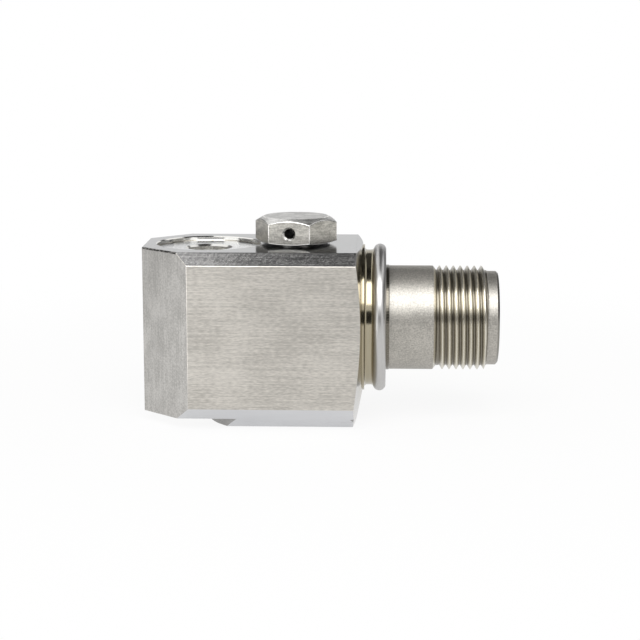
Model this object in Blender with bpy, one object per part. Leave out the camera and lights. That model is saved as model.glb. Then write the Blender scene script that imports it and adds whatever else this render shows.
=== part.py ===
# A low, side-exit industrial vibration sensor that also reads temperature.
# A stainless block carries a shear-type sensing element in a chamber on the left, a mounting screw
# down through its round pad, and a threaded connector on the turned right-hand end.
# Metres, +Z up, +X towards the connector. The origin is the middle of the base of the overall box.

import math

import bmesh
import bpy
from mathutils import Matrix, Vector

MM = 0.001

# Clearance between pieces that are fitted together
FIT = 0.3 * MM

# Depth by which two forms of one piece run into each other
OVERLAP = 0.6 * MM

# Block; lengths along it are measured from the mounting screw's axis
BLOCK_WIDTH = 24.8 * MM
BLOCK_HEIGHT = 26.4 * MM
SCREW_TO_TURNED_END = 10.2 * MM
END_FLAT_WIDTH = 10.6 * MM
CORNER_CUT_LENGTH = 7.4 * MM
TOP_CHAMFER = 1.8 * MM
BOTTOM_CHAMFER = 3.25 * MM

# Round mounting pad, left standing when the rest of the underside is relieved
PAD_DIAMETER = 27.0 * MM
PAD_HEIGHT = 1.45 * MM

# Turned end of the block, on the connector's axis
AXIS_HEIGHT = 15.1 * MM
END_CONE_ANGLE = math.radians(11.5)
LAND_DIAMETER = 22.2 * MM
LAND_LENGTH = 0.25 * MM
GROOVE_DEPTH = 0.8 * MM
GROOVE_LENGTH = 1.35 * MM
GROOVE_CORNER = 0.45 * MM
BEAD_DIAMETER = 22.4 * MM
BEAD_LENGTH = 1.9 * MM

# Mounting screw, quarter inch, with a drilled hexagon head
SCREW_DIAMETER = 6.35 * MM
SCREW_TIP_ABOVE_PAD = 0.9 * MM
SCREW_TIP_CHAMFER = 0.6 * MM
HEAD_ACROSS_FLATS = 10.9 * MM
HEAD_HEIGHT = 3.9 * MM
HEAD_CROWN_DIAMETER = 9.8 * MM
HEAD_CHAMFER_ANGLE = math.radians(31)
HEAD_TURN = math.radians(-8.5)
SEAT_FACE_DIAMETER = 10.4 * MM
SEAT_FACE_ANGLE = math.radians(15)
WIRE_HOLE_DIAMETER = 1.5 * MM
WIRE_HOLE_HEIGHT = 1.75 * MM
WIRE_HOLE_RIM = 0.2 * MM

# Element chamber and its lid, with the walls left beside the chamber
LID_BORE_DIAMETER = 15.75 * MM
LID_RECESS = 0.65 * MM
LID_THICKNESS = 3.0 * MM
LID_LEDGE = 0.6 * MM
LID_SOCKET_DIAMETER = 6.5 * MM
LID_SOCKET_DEPTH = 1.8 * MM
EDGE_BREAK = 0.15 * MM
CHAMBER_FLOOR = 3.8 * MM
CHAMBER_SCREW_WALL = 1.9 * MM
CHAMBER_END_WALL = 1.675 * MM

# Connector bore and the lead passage beside the screw hole
CONNECTOR_BORE_DIAMETER = 14.0 * MM
BORE_SCREW_WALL = 1.1 * MM
PASSAGE_DIAMETER = 2.4 * MM
PASSAGE_SCREW_WALL = 0.6 * MM
PASSAGE_ABOVE_BOARD = 2.0 * MM
PASSAGE_ABOVE_AXIS = 2.0 * MM

# Connector shell
NECK_DIAMETER = 15.8 * MM
NECK_LENGTH = 6.85 * MM
NOSE_DIAMETER = 14.25 * MM
NOSE_LENGTH = 1.75 * MM
NOSE_CHAMFER = 0.3 * MM
SPIGOT_LENGTH = 2.4 * MM
SHELL_THROAT_DIAMETER = 10.0 * MM
RIM_WALL = 0.95 * MM
SOCKET_DEPTH = 10.2 * MM
KEYWAY_WIDTH = 1.6 * MM
KEYWAY_DEPTH = 0.5 * MM
KEYWAY_LENGTH = 8.0 * MM

# Right-hand thread for the cable plug, five eighths of an inch with 24 turns to the inch. It starts
# and ends in plain rings at its root, and its first whole crest at the bottom follows the neck closely.
THREAD_DIAMETER = 15.8 * MM
THREAD_DEPTH = 0.66 * MM
THREAD_PITCH = 25.4 / 24 * MM
THREAD_LENGTH = 8.0 * MM
THREAD_RUN_IN = 0.45 * MM
THREAD_FADE = 0.25 * MM
THREAD_CREST_FROM_NECK = 0.42 * MM

# Glass seal, contact pins and the board soldered to their tails
SEAL_THICKNESS = 3.0 * MM
PIN_DIAMETER = 1.57 * MM
PIN_CIRCLE_DIAMETER = 5.2 * MM
PIN_SETBACK = 2.7 * MM
PIN_TIP_ROUND = 0.4 * MM
PIN_TAIL = 0.5 * MM
TERMINAL_BOARD_THICKNESS = 0.8 * MM
SPIGOT_TO_TERMINAL_BOARD = 0.4 * MM

# Temperature sensor in the bottom of the connector bore
TEMPERATURE_BODY_LENGTH = 2.4 * MM
TEMPERATURE_BODY_WIDTH = 4.2 * MM
TEMPERATURE_BODY_HEIGHT = 3.0 * MM
TEMPERATURE_LEAD_SPACING = 1.8 * MM

# Sensing element stack
ISOLATION_THICKNESS = 1.0 * MM
CAN_WALL = 0.4 * MM
CAN_HEAD_ROOM = 0.5 * MM
CAN_LEAD_HOLE_DIAMETER = 1.4 * MM
BASE_PLATE_THICKNESS = 1.2 * MM
WEB_THICKNESS = 2.4 * MM
WEB_WIDTH = 7.0 * MM
WEB_HEIGHT = 5.6 * MM
CRYSTAL_THICKNESS = 0.7 * MM
CRYSTAL_WIDTH = 6.4 * MM
CRYSTAL_HEIGHT = 4.6 * MM
SHIM_THICKNESS = 0.2 * MM
MASS_WIDTH = 7.2 * MM
MASS_HEIGHT = 4.8 * MM
CLAMP_BOLT_DIAMETER = 1.6 * MM
CLAMP_HEAD_DIAMETER = 2.6 * MM
CLAMP_HEAD_THICKNESS = 0.9 * MM
CLAMP_BOLT_END = 0.2 * MM
CLAMP_TO_CAN = 0.4 * MM

# Amplifier board above the can
SPACER_HEIGHT = 0.6 * MM
SPACER_WALL = 1.0 * MM
AMPLIFIER_BOARD_THICKNESS = 0.8 * MM
CHIP_SIZE = (4.9 * MM, 3.9 * MM, 1.5 * MM)
CAPACITOR_SIZE = (3.5 * MM, 2.8 * MM, 1.9 * MM)
RESISTOR_SIZE = (2.0 * MM, 1.25 * MM, 0.6 * MM)
LEAD_DIAMETER = 0.6 * MM
LEAD_SPACING = 1.1 * MM
LEAD_INSET = 1.0 * MM
FINE_LEAD_DIAMETER = 0.5 * MM

# Fineness of round forms
FINE_STEPS = 84
MEDIUM_STEPS = 64
INNER_STEPS = 36
COARSE_STEPS = 32
SMALL_STEPS = 20
LEAD_STEPS = 4

# Points closer than this are one point
MERGE = 0.002 * MM

# Places along X, with the overall length's middle at the origin
SCREW_HOLE_RADIUS = SCREW_DIAMETER / 2 + FIT
CHAMBER_TO_SCREW = SCREW_HOLE_RADIUS + CHAMBER_SCREW_WALL + LID_BORE_DIAMETER / 2
SCREW_TO_LEFT_END = CHAMBER_TO_SCREW + LID_BORE_DIAMETER / 2 + CHAMBER_END_WALL
SHELL_SHOULDER_FROM_SCREW = SCREW_TO_TURNED_END + LAND_LENGTH + GROOVE_LENGTH + BEAD_LENGTH + FIT
RIM_FROM_SCREW = SHELL_SHOULDER_FROM_SCREW + NECK_LENGTH + THREAD_LENGTH + NOSE_LENGTH
SCREW_X = (SCREW_TO_LEFT_END - RIM_FROM_SCREW) / 2
LEFT_END_X = SCREW_X - SCREW_TO_LEFT_END
CHAMBER_X = SCREW_X - CHAMBER_TO_SCREW
LAND_X = SCREW_X + SCREW_TO_TURNED_END
HOUSING_END_X = LAND_X + LAND_LENGTH + GROOVE_LENGTH + BEAD_LENGTH
SHELL_SHOULDER_X = HOUSING_END_X + FIT
THREAD_X = SHELL_SHOULDER_X + NECK_LENGTH
NOSE_X = THREAD_X + THREAD_LENGTH
RIM_X = NOSE_X + NOSE_LENGTH
SOCKET_FLOOR_X = RIM_X - SOCKET_DEPTH
SEAL_LEDGE_X = SOCKET_FLOOR_X - SEAL_THICKNESS - FIT
SPIGOT_END_X = SHELL_SHOULDER_X - SPIGOT_LENGTH
CONNECTOR_BORE_X = SCREW_X + SCREW_HOLE_RADIUS + BORE_SCREW_WALL
TERMINAL_BOARD_X = SPIGOT_END_X - SPIGOT_TO_TERMINAL_BOARD - TERMINAL_BOARD_THICKNESS

# Heights of the element stack, from the chamber's floor up
ISOLATION_Z = CHAMBER_FLOOR + FIT
CAN_Z = ISOLATION_Z + ISOLATION_THICKNESS + FIT
WEB_Z = CAN_Z + BASE_PLATE_THICKNESS
CAN_HEIGHT = BASE_PLATE_THICKNESS + WEB_HEIGHT + CAN_HEAD_ROOM + CAN_WALL
CLAMP_Z = WEB_Z + FIT + MASS_HEIGHT / 2
SPACER_Z = CAN_Z + CAN_HEIGHT + FIT
BOARD_Z = SPACER_Z + SPACER_HEIGHT + FIT
BOARD_TOP_Z = BOARD_Z + AMPLIFIER_BOARD_THICKNESS
LID_TOP_Z = BLOCK_HEIGHT - LID_RECESS
LID_Z = LID_TOP_Z - LID_THICKNESS

# The lead passage, beside the screw hole, from above the amplifier board to the connector bore
PASSAGE_SIDE = SCREW_HOLE_RADIUS + PASSAGE_SCREW_WALL + PASSAGE_DIAMETER / 2
PASSAGE_START = Vector((CHAMBER_X, PASSAGE_SIDE, BOARD_TOP_Z + PASSAGE_ABOVE_BOARD))
PASSAGE_END = Vector((CONNECTOR_BORE_X, PASSAGE_SIDE, AXIS_HEIGHT + PASSAGE_ABOVE_AXIS))

# Radii and thicknesses that follow from what holds the piece
CHAMBER_RADIUS = LID_BORE_DIAMETER / 2 - LID_LEDGE
CAN_OUTER_RADIUS = CHAMBER_RADIUS - FIT
CAN_INNER_RADIUS = CAN_OUTER_RADIUS - CAN_WALL
CLAMP_FACE = CAN_INNER_RADIUS - CLAMP_TO_CAN - CLAMP_BOLT_END - CLAMP_HEAD_THICKNESS
MASS_THICKNESS = CLAMP_FACE - WEB_THICKNESS / 2 - CRYSTAL_THICKNESS - SHIM_THICKNESS - 4 * FIT
SOCKET_RADIUS = NOSE_DIAMETER / 2 - RIM_WALL
PIN_HOLE_RADIUS = PIN_DIAMETER / 2 + FIT

ALONG_X = Matrix.Rotation(math.radians(90), 4, "Y")


# Materials
def material(name, colour, roughness, metallic):
    found = bpy.data.materials.get(name)
    if found:
        return found
    made = bpy.data.materials.new(name)
    made.use_nodes = True
    shader = made.node_tree.nodes["Principled BSDF"]
    shader.inputs["Base Color"].default_value = (*colour, 1.0)
    shader.inputs["Roughness"].default_value = roughness
    shader.inputs["Metallic"].default_value = metallic
    return made


def brushed_stainless():
    return material("brushed_stainless", (0.62, 0.60, 0.57), 0.34, 1.0)


def screw_stainless():
    return material("screw_stainless", (0.56, 0.56, 0.54), 0.30, 1.0)


def blasted_stainless():
    return material("blasted_stainless", (0.58, 0.56, 0.53), 0.42, 1.0)


def gold_plate():
    return material("gold_plate", (0.83, 0.62, 0.25), 0.25, 1.0)


def seal_glass():
    return material("seal_glass", (0.06, 0.09, 0.08), 0.15, 0.0)


def alumina():
    return material("alumina", (0.86, 0.85, 0.80), 0.45, 0.0)


def piezo_ceramic():
    return material("piezo_ceramic", (0.55, 0.50, 0.38), 0.55, 0.0)


def tungsten():
    return material("tungsten", (0.34, 0.34, 0.36), 0.40, 1.0)


def brass():
    return material("brass", (0.78, 0.60, 0.28), 0.30, 1.0)


def circuit_board():
    return material("circuit_board", (0.05, 0.20, 0.10), 0.45, 0.0)


def moulded_black():
    return material("moulded_black", (0.03, 0.03, 0.03), 0.40, 0.0)


def lead_sleeve(name, colour):
    return material(name, colour, 0.45, 0.0)


# Mesh helpers
def finish_mesh(name, bm, finish, place=None):
    """Turn a bmesh into a named object with its own finish, smooth where it is round."""
    bmesh.ops.remove_doubles(bm, verts=bm.verts, dist=MERGE)
    bmesh.ops.recalc_face_normals(bm, faces=bm.faces)
    mesh = bpy.data.meshes.new(name)
    bm.to_mesh(mesh)
    bm.free()
    if place:
        mesh.transform(place)
    mesh.shade_smooth()
    mesh.set_sharp_from_angle(angle=math.radians(25))
    made = bpy.data.objects.new(name, mesh)
    bpy.context.scene.collection.objects.link(made)
    if finish:
        mesh.materials.append(finish)
    return made


def turned(name, profile, steps, finish=None, closed=False, rest=None):
    """A lathe-turned solid about Z from (radius, height) points: open on the axis, a closed loop, or
    open where the rest of the surface, such as a thread, is already made."""
    bm = rest or bmesh.new()
    verts = [bm.verts.new((radius, 0, height)) for radius, height in profile]
    edges = [bm.edges.new(pair) for pair in zip(verts, verts[1:])]
    if closed:
        edges.append(bm.edges.new((verts[-1], verts[0])))
    bmesh.ops.spin(bm, geom=verts + edges, cent=(0, 0, 0), axis=(0, 0, 1), angle=math.tau, steps=steps)
    return finish_mesh(name, bm, finish)


def thread(start, end, first_crest, steps):
    """A right-hand thread about Z between two rings of its root: crest and root lines that climb in turns."""
    bm = bmesh.new()
    crest = THREAD_DIAMETER / 2
    lowest = math.floor(2 * (start - first_crest) / THREAD_PITCH) - 2
    highest = math.ceil(2 * (end - first_crest) / THREAD_PITCH)
    columns = []
    for step in range(steps + 1):
        angle = math.tau * step / steps
        column = []
        for half_turn in range(lowest, highest + 1):
            height = first_crest + THREAD_PITCH * (half_turn / 2 + step / steps)
            height = min(max(height, start), end)
            fade = min((height - start) / THREAD_FADE, (end - height) / THREAD_FADE, 1.0)
            rise = fade if half_turn % 2 == 0 else 0.0
            radius = crest - THREAD_DEPTH * (1.0 - rise)
            column.append(bm.verts.new((radius * math.cos(angle), radius * math.sin(angle), height)))
        columns.append(column)
    for left, right in zip(columns, columns[1:]):
        for row in range(len(left) - 1):
            bm.faces.new((left[row], right[row], right[row + 1], left[row + 1]))
    return bm


def prism(name, outline, depth, finish=None, place=None):
    """An (x, y) outline extruded along +Z."""
    bm = bmesh.new()
    face = bm.faces.new([bm.verts.new((x, y, 0)) for x, y in outline])
    raised = bmesh.ops.extrude_face_region(bm, geom=[face])
    tops = [item for item in raised["geom"] if isinstance(item, bmesh.types.BMVert)]
    bmesh.ops.translate(bm, verts=tops, vec=(0, 0, depth))
    return finish_mesh(name, bm, finish, place)


def slab(name, length, width, height, finish=None):
    """A rectangular block, centred in plan, standing on its own origin."""
    outline = [
        (-length / 2, -width / 2),
        (length / 2, -width / 2),
        (length / 2, width / 2),
        (-length / 2, width / 2),
    ]
    return prism(name, outline, height, finish)


def arc(centre, radius, start, end, steps):
    """Points along an arc, in degrees."""
    points = []
    for step in range(steps + 1):
        angle = math.radians(start + (end - start) * step / steps)
        points.append((centre[0] + radius * math.cos(angle), centre[1] + radius * math.sin(angle)))
    return points


def disc(name, radius, height, steps, finish=None):
    return turned(name, [(0, 0), (radius, 0), (radius, height), (0, height)], steps, finish)


def combine(target, tool, operation):
    """Keep a live Boolean on the target, and hide its tool."""
    boolean = target.modifiers.new(tool.name, "BOOLEAN")
    boolean.operation = operation
    boolean.solver = "EXACT"
    boolean.object = tool
    tool.hide_render = True
    tool.display_type = "WIRE"


def drill(target, name, diameter, start, direction, depth, steps=SMALL_STEPS):
    """A round hole from a start point along a direction."""
    tool = disc(name, diameter / 2, depth, steps)
    turn = Vector(direction).to_track_quat("Z", "Y").to_matrix().to_4x4()
    tool.matrix_world = Matrix.Translation(start) @ turn
    combine(target, tool, "DIFFERENCE")
    return tool


def on_connector_axis(made, x):
    """Lay a turned piece along +X on the connector's axis."""
    made.matrix_world = Matrix.Translation((x, 0, AXIS_HEIGHT)) @ ALONG_X


def lead(name, route, diameter, finish):
    """An insulated wire on one smooth curve through its route's points."""
    points = []
    last = len(route) - 1
    for index in range(last):
        before = Vector(route[max(index - 1, 0)])
        start = Vector(route[index])
        end = Vector(route[index + 1])
        after = Vector(route[min(index + 2, last)])
        for step in range(LEAD_STEPS):
            t = step / LEAD_STEPS
            slope = (end - before) * t
            bend = (2 * before - 5 * start + 4 * end - after) * t ** 2
            twist = (3 * start - before - 3 * end + after) * t ** 3
            points.append((2 * start + slope + bend + twist) / 2)
    points.append(Vector(route[last]))
    curve = bpy.data.curves.new(name, "CURVE")
    curve.dimensions = "3D"
    curve.bevel_depth = diameter / 2
    curve.bevel_resolution = 2
    curve.use_fill_caps = True
    spline = curve.splines.new("POLY")
    spline.points.add(len(points) - 1)
    for target, point in zip(spline.points, points):
        target.co = (*point, 1)
    curve.materials.append(finish)
    made = bpy.data.objects.new(name, curve)
    bpy.context.scene.collection.objects.link(made)
    return made


# Housing
def bar_stock():
    """The block's bar: an eight-sided section along X, with both left-hand corners cut off."""
    half = BLOCK_WIDTH / 2
    section = [
        (-half + BOTTOM_CHAMFER, 0),
        (half - BOTTOM_CHAMFER, 0),
        (half, BOTTOM_CHAMFER),
        (half, BLOCK_HEIGHT - TOP_CHAMFER),
        (half - TOP_CHAMFER, BLOCK_HEIGHT),
        (-half + TOP_CHAMFER, BLOCK_HEIGHT),
        (-half, BLOCK_HEIGHT - TOP_CHAMFER),
        (-half, BOTTOM_CHAMFER),
    ]
    bm = bmesh.new()
    face = bm.faces.new([bm.verts.new((LEFT_END_X, y, z)) for y, z in section])
    pushed = bmesh.ops.extrude_face_region(bm, geom=[face])
    far = [item for item in pushed["geom"] if isinstance(item, bmesh.types.BMVert)]
    bmesh.ops.translate(bm, verts=far, vec=(HOUSING_END_X + BLOCK_WIDTH - LEFT_END_X, 0, 0))
    corner_depth = (BLOCK_WIDTH - END_FLAT_WIDTH) / 2
    for side in (-1, 1):
        cut = bmesh.ops.bisect_plane(
            bm,
            geom=bm.verts[:] + bm.edges[:] + bm.faces[:],
            dist=MERGE,
            plane_co=(LEFT_END_X, side * END_FLAT_WIDTH / 2, 0),
            plane_no=(-corner_depth, side * CORNER_CUT_LENGTH, 0),
            clear_outer=True,
        )
        rim = [item for item in cut["geom_cut"] if isinstance(item, bmesh.types.BMEdge)]
        bmesh.ops.holes_fill(bm, edges=rim, sides=0)
    return finish_mesh("housing", bm, brushed_stainless())


def turning_outline():
    """Everything the lathe leaves on the connector's axis: cone, land, groove and bead."""
    reach = BLOCK_WIDTH + BLOCK_HEIGHT
    land = LAND_DIAMETER / 2
    groove = land - GROOVE_DEPTH
    bead = BEAD_DIAMETER / 2
    groove_start = LAND_LENGTH
    groove_end = groove_start + GROOVE_LENGTH
    bead_end = groove_end + BEAD_LENGTH
    bead_round = BEAD_LENGTH / 2
    bead_middle = (bead - bead_round, groove_end + bead_round)
    # A hollow corner of one size on both sides of the groove; the second one runs into the bead
    floor = groove + GROOVE_CORNER
    across = math.acos(max(min((floor - bead_middle[0]) / (bead_round + GROOVE_CORNER), 1.0), -1.0))
    second = (floor, bead_middle[1] - (bead_round + GROOVE_CORNER) * math.sin(across))
    lean = math.degrees(across)
    points = [(0, -reach), (reach, -reach), (reach, -(reach - land) * math.tan(END_CONE_ANGLE))]
    points += [(land, 0), (land, groove_start)]
    points += arc((floor, groove_start + GROOVE_CORNER), GROOVE_CORNER, 270, 180, 4)
    points += arc(second, GROOVE_CORNER, 180, 180 - lean, 3)
    points += arc(bead_middle, bead_round, -lean, 75, 8)
    points += [(bead - BEAD_LENGTH, bead_end), (0, bead_end)]
    return points


def housing():
    block = bar_stock()
    lathe = turned("end_turning", turning_outline(), FINE_STEPS)
    on_connector_axis(lathe, LAND_X)
    combine(block, lathe, "INTERSECT")

    beyond = BLOCK_WIDTH + BLOCK_HEIGHT
    relief = turned(
        "underside_relief",
        [
            (PAD_DIAMETER / 2, -PAD_HEIGHT),
            (beyond, -PAD_HEIGHT),
            (beyond, PAD_HEIGHT),
            (PAD_DIAMETER / 2, PAD_HEIGHT),
        ],
        FINE_STEPS,
        closed=True,
    )
    relief.location = (SCREW_X, 0, 0)
    combine(block, relief, "DIFFERENCE")

    chamber = turned(
        "chamber_bore",
        [
            (0, CHAMBER_FLOOR),
            (CHAMBER_RADIUS, CHAMBER_FLOOR),
            (CHAMBER_RADIUS, LID_Z - FIT),
            (LID_BORE_DIAMETER / 2, LID_Z - FIT),
            (LID_BORE_DIAMETER / 2, BLOCK_HEIGHT - EDGE_BREAK),
            (LID_BORE_DIAMETER / 2 + 2 * EDGE_BREAK, BLOCK_HEIGHT + EDGE_BREAK),
            (0, BLOCK_HEIGHT + EDGE_BREAK),
        ],
        MEDIUM_STEPS,
    )
    chamber.location = (CHAMBER_X, 0, 0)
    combine(block, chamber, "DIFFERENCE")

    drill(block, "screw_hole", 2 * SCREW_HOLE_RADIUS, (SCREW_X, 0, -PAD_HEIGHT), (0, 0, 1),
          2 * BLOCK_HEIGHT, MEDIUM_STEPS)
    drill(block, "connector_bore", CONNECTOR_BORE_DIAMETER, (CONNECTOR_BORE_X, 0, AXIS_HEIGHT), (1, 0, 0),
          BLOCK_WIDTH, MEDIUM_STEPS)
    passage = PASSAGE_END - PASSAGE_START
    drill(block, "lead_passage", PASSAGE_DIAMETER, PASSAGE_START, passage, passage.length + PASSAGE_DIAMETER,
          COARSE_STEPS)


# Mounting screw
def mounting_screw():
    seat = BLOCK_HEIGHT + FIT
    head_top = seat + HEAD_HEIGHT
    corner = HEAD_ACROSS_FLATS / math.sqrt(3)
    crown = HEAD_CROWN_DIAMETER / 2
    seat_face = SEAT_FACE_DIAMETER / 2
    outside = 1.1 * corner
    radius = SCREW_DIAMETER / 2
    tip = SCREW_TIP_ABOVE_PAD

    outline = []
    for index in range(6):
        angle = math.radians(60 * index) + HEAD_TURN
        outline.append((corner * math.cos(angle), corner * math.sin(angle)))
    base = Matrix.Translation((0, 0, seat - OVERLAP))
    screw = prism("mounting_screw", outline, HEAD_HEIGHT + OVERLAP, screw_stainless(), base)
    screw.location = (SCREW_X, 0, 0)

    crowning = turned(
        "head_chamfer",
        [
            (0, seat),
            (seat_face, seat),
            (outside, seat + (outside - seat_face) * math.tan(SEAT_FACE_ANGLE)),
            (outside, head_top - (outside - crown) * math.tan(HEAD_CHAMFER_ANGLE)),
            (crown, head_top),
            (0, head_top),
        ],
        MEDIUM_STEPS,
    )
    crowning.location = (SCREW_X, 0, 0)
    combine(screw, crowning, "INTERSECT")

    shank = turned(
        "screw_shank",
        [
            (0, tip),
            (radius - SCREW_TIP_CHAMFER, tip),
            (radius, tip + SCREW_TIP_CHAMFER),
            (radius, seat + OVERLAP),
            (0, seat + OVERLAP),
        ],
        MEDIUM_STEPS,
    )
    shank.location = (SCREW_X, 0, 0)
    combine(screw, shank, "UNION")

    # The wire hole runs from flat to flat, with a small countersink at each mouth
    hole = WIRE_HOLE_DIAMETER / 2
    mouth = hole + WIRE_HOLE_RIM
    flat = HEAD_ACROSS_FLATS / 2
    wire_hole = turned(
        "wire_hole",
        [
            (0, -2 * flat),
            (mouth, -2 * flat),
            (mouth, -flat),
            (hole, -flat + WIRE_HOLE_RIM),
            (hole, flat - WIRE_HOLE_RIM),
            (mouth, flat),
            (mouth, 2 * flat),
            (0, 2 * flat),
        ],
        COARSE_STEPS,
    )
    across = Matrix.Rotation(HEAD_TURN, 4, "Z") @ Matrix.Rotation(math.radians(90), 4, "X")
    wire_hole.matrix_world = Matrix.Translation((SCREW_X, 0, seat + WIRE_HOLE_HEIGHT)) @ across
    combine(screw, wire_hole, "DIFFERENCE")


# Chamber lid
def chamber_lid():
    radius = LID_BORE_DIAMETER / 2 - FIT
    socket = LID_SOCKET_DIAMETER / 2
    lid = turned(
        "chamber_lid",
        [
            (0, 0),
            (radius, 0),
            (radius, LID_THICKNESS - EDGE_BREAK),
            (radius - EDGE_BREAK, LID_THICKNESS),
            (socket + EDGE_BREAK, LID_THICKNESS),
            (socket, LID_THICKNESS - EDGE_BREAK),
            (socket, LID_THICKNESS - LID_SOCKET_DEPTH),
            (0, LID_THICKNESS - LID_SOCKET_DEPTH),
        ],
        MEDIUM_STEPS,
        brushed_stainless(),
    )
    lid.location = (CHAMBER_X, 0, LID_Z)


# Connector
def connector_shell():
    """One turned tube, from the spigot in the housing to the nose, in lengths from the shoulder."""
    spigot = CONNECTOR_BORE_DIAMETER / 2 - FIT
    neck = NECK_DIAMETER / 2
    root = THREAD_DIAMETER / 2 - THREAD_DEPTH
    nose = NOSE_DIAMETER / 2
    throat = SHELL_THROAT_DIAMETER / 2
    thread_start = NECK_LENGTH + THREAD_RUN_IN
    thread_end = NOSE_X - SHELL_SHOULDER_X
    rim = RIM_X - SHELL_SHOULDER_X
    ledge = SEAL_LEDGE_X - SHELL_SHOULDER_X
    # The plain surface runs from the thread's end round the nose, socket and spigot to its start
    plain = [
        (root, thread_end),
        (nose, thread_end + abs(root - nose)),
        (nose, rim - NOSE_CHAMFER),
        (nose - NOSE_CHAMFER, rim),
        (SOCKET_RADIUS, rim),
        (SOCKET_RADIUS, ledge),
        (throat, ledge),
        (throat, -SPIGOT_LENGTH),
        (spigot, -SPIGOT_LENGTH),
        (spigot, 0),
        (neck, 0),
        (neck, NECK_LENGTH),
        (root, thread_start),
    ]
    threaded = thread(thread_start, thread_end, NECK_LENGTH + THREAD_CREST_FROM_NECK, MEDIUM_STEPS)
    shell = turned("connector_shell", plain, MEDIUM_STEPS, blasted_stainless(), rest=threaded)
    on_connector_axis(shell, SHELL_SHOULDER_X)
    keyway = slab("keyway", KEYWAY_LENGTH * 2, KEYWAY_WIDTH, SOCKET_RADIUS + KEYWAY_DEPTH)
    keyway.location = (RIM_X, 0, AXIS_HEIGHT)
    combine(shell, keyway, "DIFFERENCE")


def pin_places():
    """The three pins stand on one circle, the first at the top."""
    places = []
    for index, letter in enumerate("abc"):
        angle = math.radians(90 + 120 * index)
        radius = PIN_CIRCLE_DIAMETER / 2
        places.append((letter, radius * math.cos(angle), AXIS_HEIGHT + radius * math.sin(angle)))
    return places


def seal_and_pins():
    seal = disc("seal_insert", SOCKET_RADIUS - FIT, SEAL_THICKNESS, INNER_STEPS, seal_glass())
    on_connector_axis(seal, SOCKET_FLOOR_X - SEAL_THICKNESS)
    board_radius = CONNECTOR_BORE_DIAMETER / 2 - 2 * FIT
    board = disc("terminal_board", board_radius, TERMINAL_BOARD_THICKNESS, COARSE_STEPS, circuit_board())
    on_connector_axis(board, TERMINAL_BOARD_X)
    tail_x = TERMINAL_BOARD_X - PIN_TAIL
    length = RIM_X - PIN_SETBACK - tail_x
    radius = PIN_DIAMETER / 2
    for letter, y, z in pin_places():
        tip = arc((radius - PIN_TIP_ROUND, length - PIN_TIP_ROUND), PIN_TIP_ROUND, 0, 90, 2)
        profile = [(0, 0), (radius, 0)] + tip + [(0, length)]
        pin = turned("contact_pin_" + letter, profile, SMALL_STEPS, gold_plate())
        pin.matrix_world = Matrix.Translation((tail_x, y, z)) @ ALONG_X
        drill(seal, "seal_hole_" + letter, 2 * PIN_HOLE_RADIUS, (SEAL_LEDGE_X - FIT, y, z), (1, 0, 0),
              SEAL_THICKNESS + 4 * FIT)
        drill(board, "board_hole_" + letter, 2 * PIN_HOLE_RADIUS, (TERMINAL_BOARD_X - FIT, y, z), (1, 0, 0),
              TERMINAL_BOARD_THICKNESS + 2 * FIT)


def temperature_sensor():
    """A small moulded sensor bonded in the bottom of the connector bore, close to the pad."""
    bore = CONNECTOR_BORE_DIAMETER / 2
    half = TEMPERATURE_BODY_WIDTH / 2
    base_z = AXIS_HEIGHT - math.sqrt(bore ** 2 - half ** 2) + FIT
    lead_length = PIN_TAIL + FIT
    end_x = TERMINAL_BOARD_X - FIT - lead_length - FIT
    size = (TEMPERATURE_BODY_LENGTH, TEMPERATURE_BODY_WIDTH, TEMPERATURE_BODY_HEIGHT)
    body = slab("temperature_sensor", *size, moulded_black())
    body.location = (end_x - TEMPERATURE_BODY_LENGTH / 2, 0, base_z)
    for side, name in ((-1, "front"), (1, "back")):
        wire = disc("temperature_lead_" + name, FINE_LEAD_DIAMETER / 2, lead_length, SMALL_STEPS, brass())
        height = base_z + TEMPERATURE_BODY_HEIGHT / 2
        wire.matrix_world = (
            Matrix.Translation((end_x + FIT, side * TEMPERATURE_LEAD_SPACING / 2, height)) @ ALONG_X
        )


# Sensing element
def element_stack():
    isolation = disc("isolation_disc", CAN_OUTER_RADIUS, ISOLATION_THICKNESS, INNER_STEPS, alumina())
    isolation.location = (CHAMBER_X, 0, ISOLATION_Z)

    base = disc("element_base", CAN_INNER_RADIUS - FIT, BASE_PLATE_THICKNESS, INNER_STEPS, screw_stainless())
    base.location = (CHAMBER_X, 0, CAN_Z)
    web = slab("element_web", WEB_THICKNESS, WEB_WIDTH, WEB_HEIGHT + OVERLAP)
    web.location = (CHAMBER_X, 0, WEB_Z - OVERLAP)
    combine(base, web, "UNION")

    hole = CLAMP_BOLT_DIAMETER + 2 * FIT
    reach = CAN_OUTER_RADIUS
    drill(base, "web_hole", hole, (CHAMBER_X - reach, 0, CLAMP_Z), (1, 0, 0), 2 * reach)
    layers = (
        ("crystal", CRYSTAL_THICKNESS, CRYSTAL_WIDTH, CRYSTAL_HEIGHT, piezo_ceramic()),
        ("contact_shim", SHIM_THICKNESS, CRYSTAL_WIDTH, CRYSTAL_HEIGHT, brass()),
        ("seismic_mass", MASS_THICKNESS, MASS_WIDTH, MASS_HEIGHT, tungsten()),
    )
    for side, side_name in ((-1, "left"), (1, "right")):
        face = WEB_THICKNESS / 2 + FIT
        for layer, thickness, width, height, finish in layers:
            name = layer + "_" + side_name
            plate = slab(name, thickness, width, height, finish)
            plate.location = (CHAMBER_X + side * (face + thickness / 2), 0, CLAMP_Z - height / 2)
            drill(plate, name + "_hole", hole, (CHAMBER_X - reach, 0, CLAMP_Z), (1, 0, 0), 2 * reach)
            face += thickness + FIT
    clamp()


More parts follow.
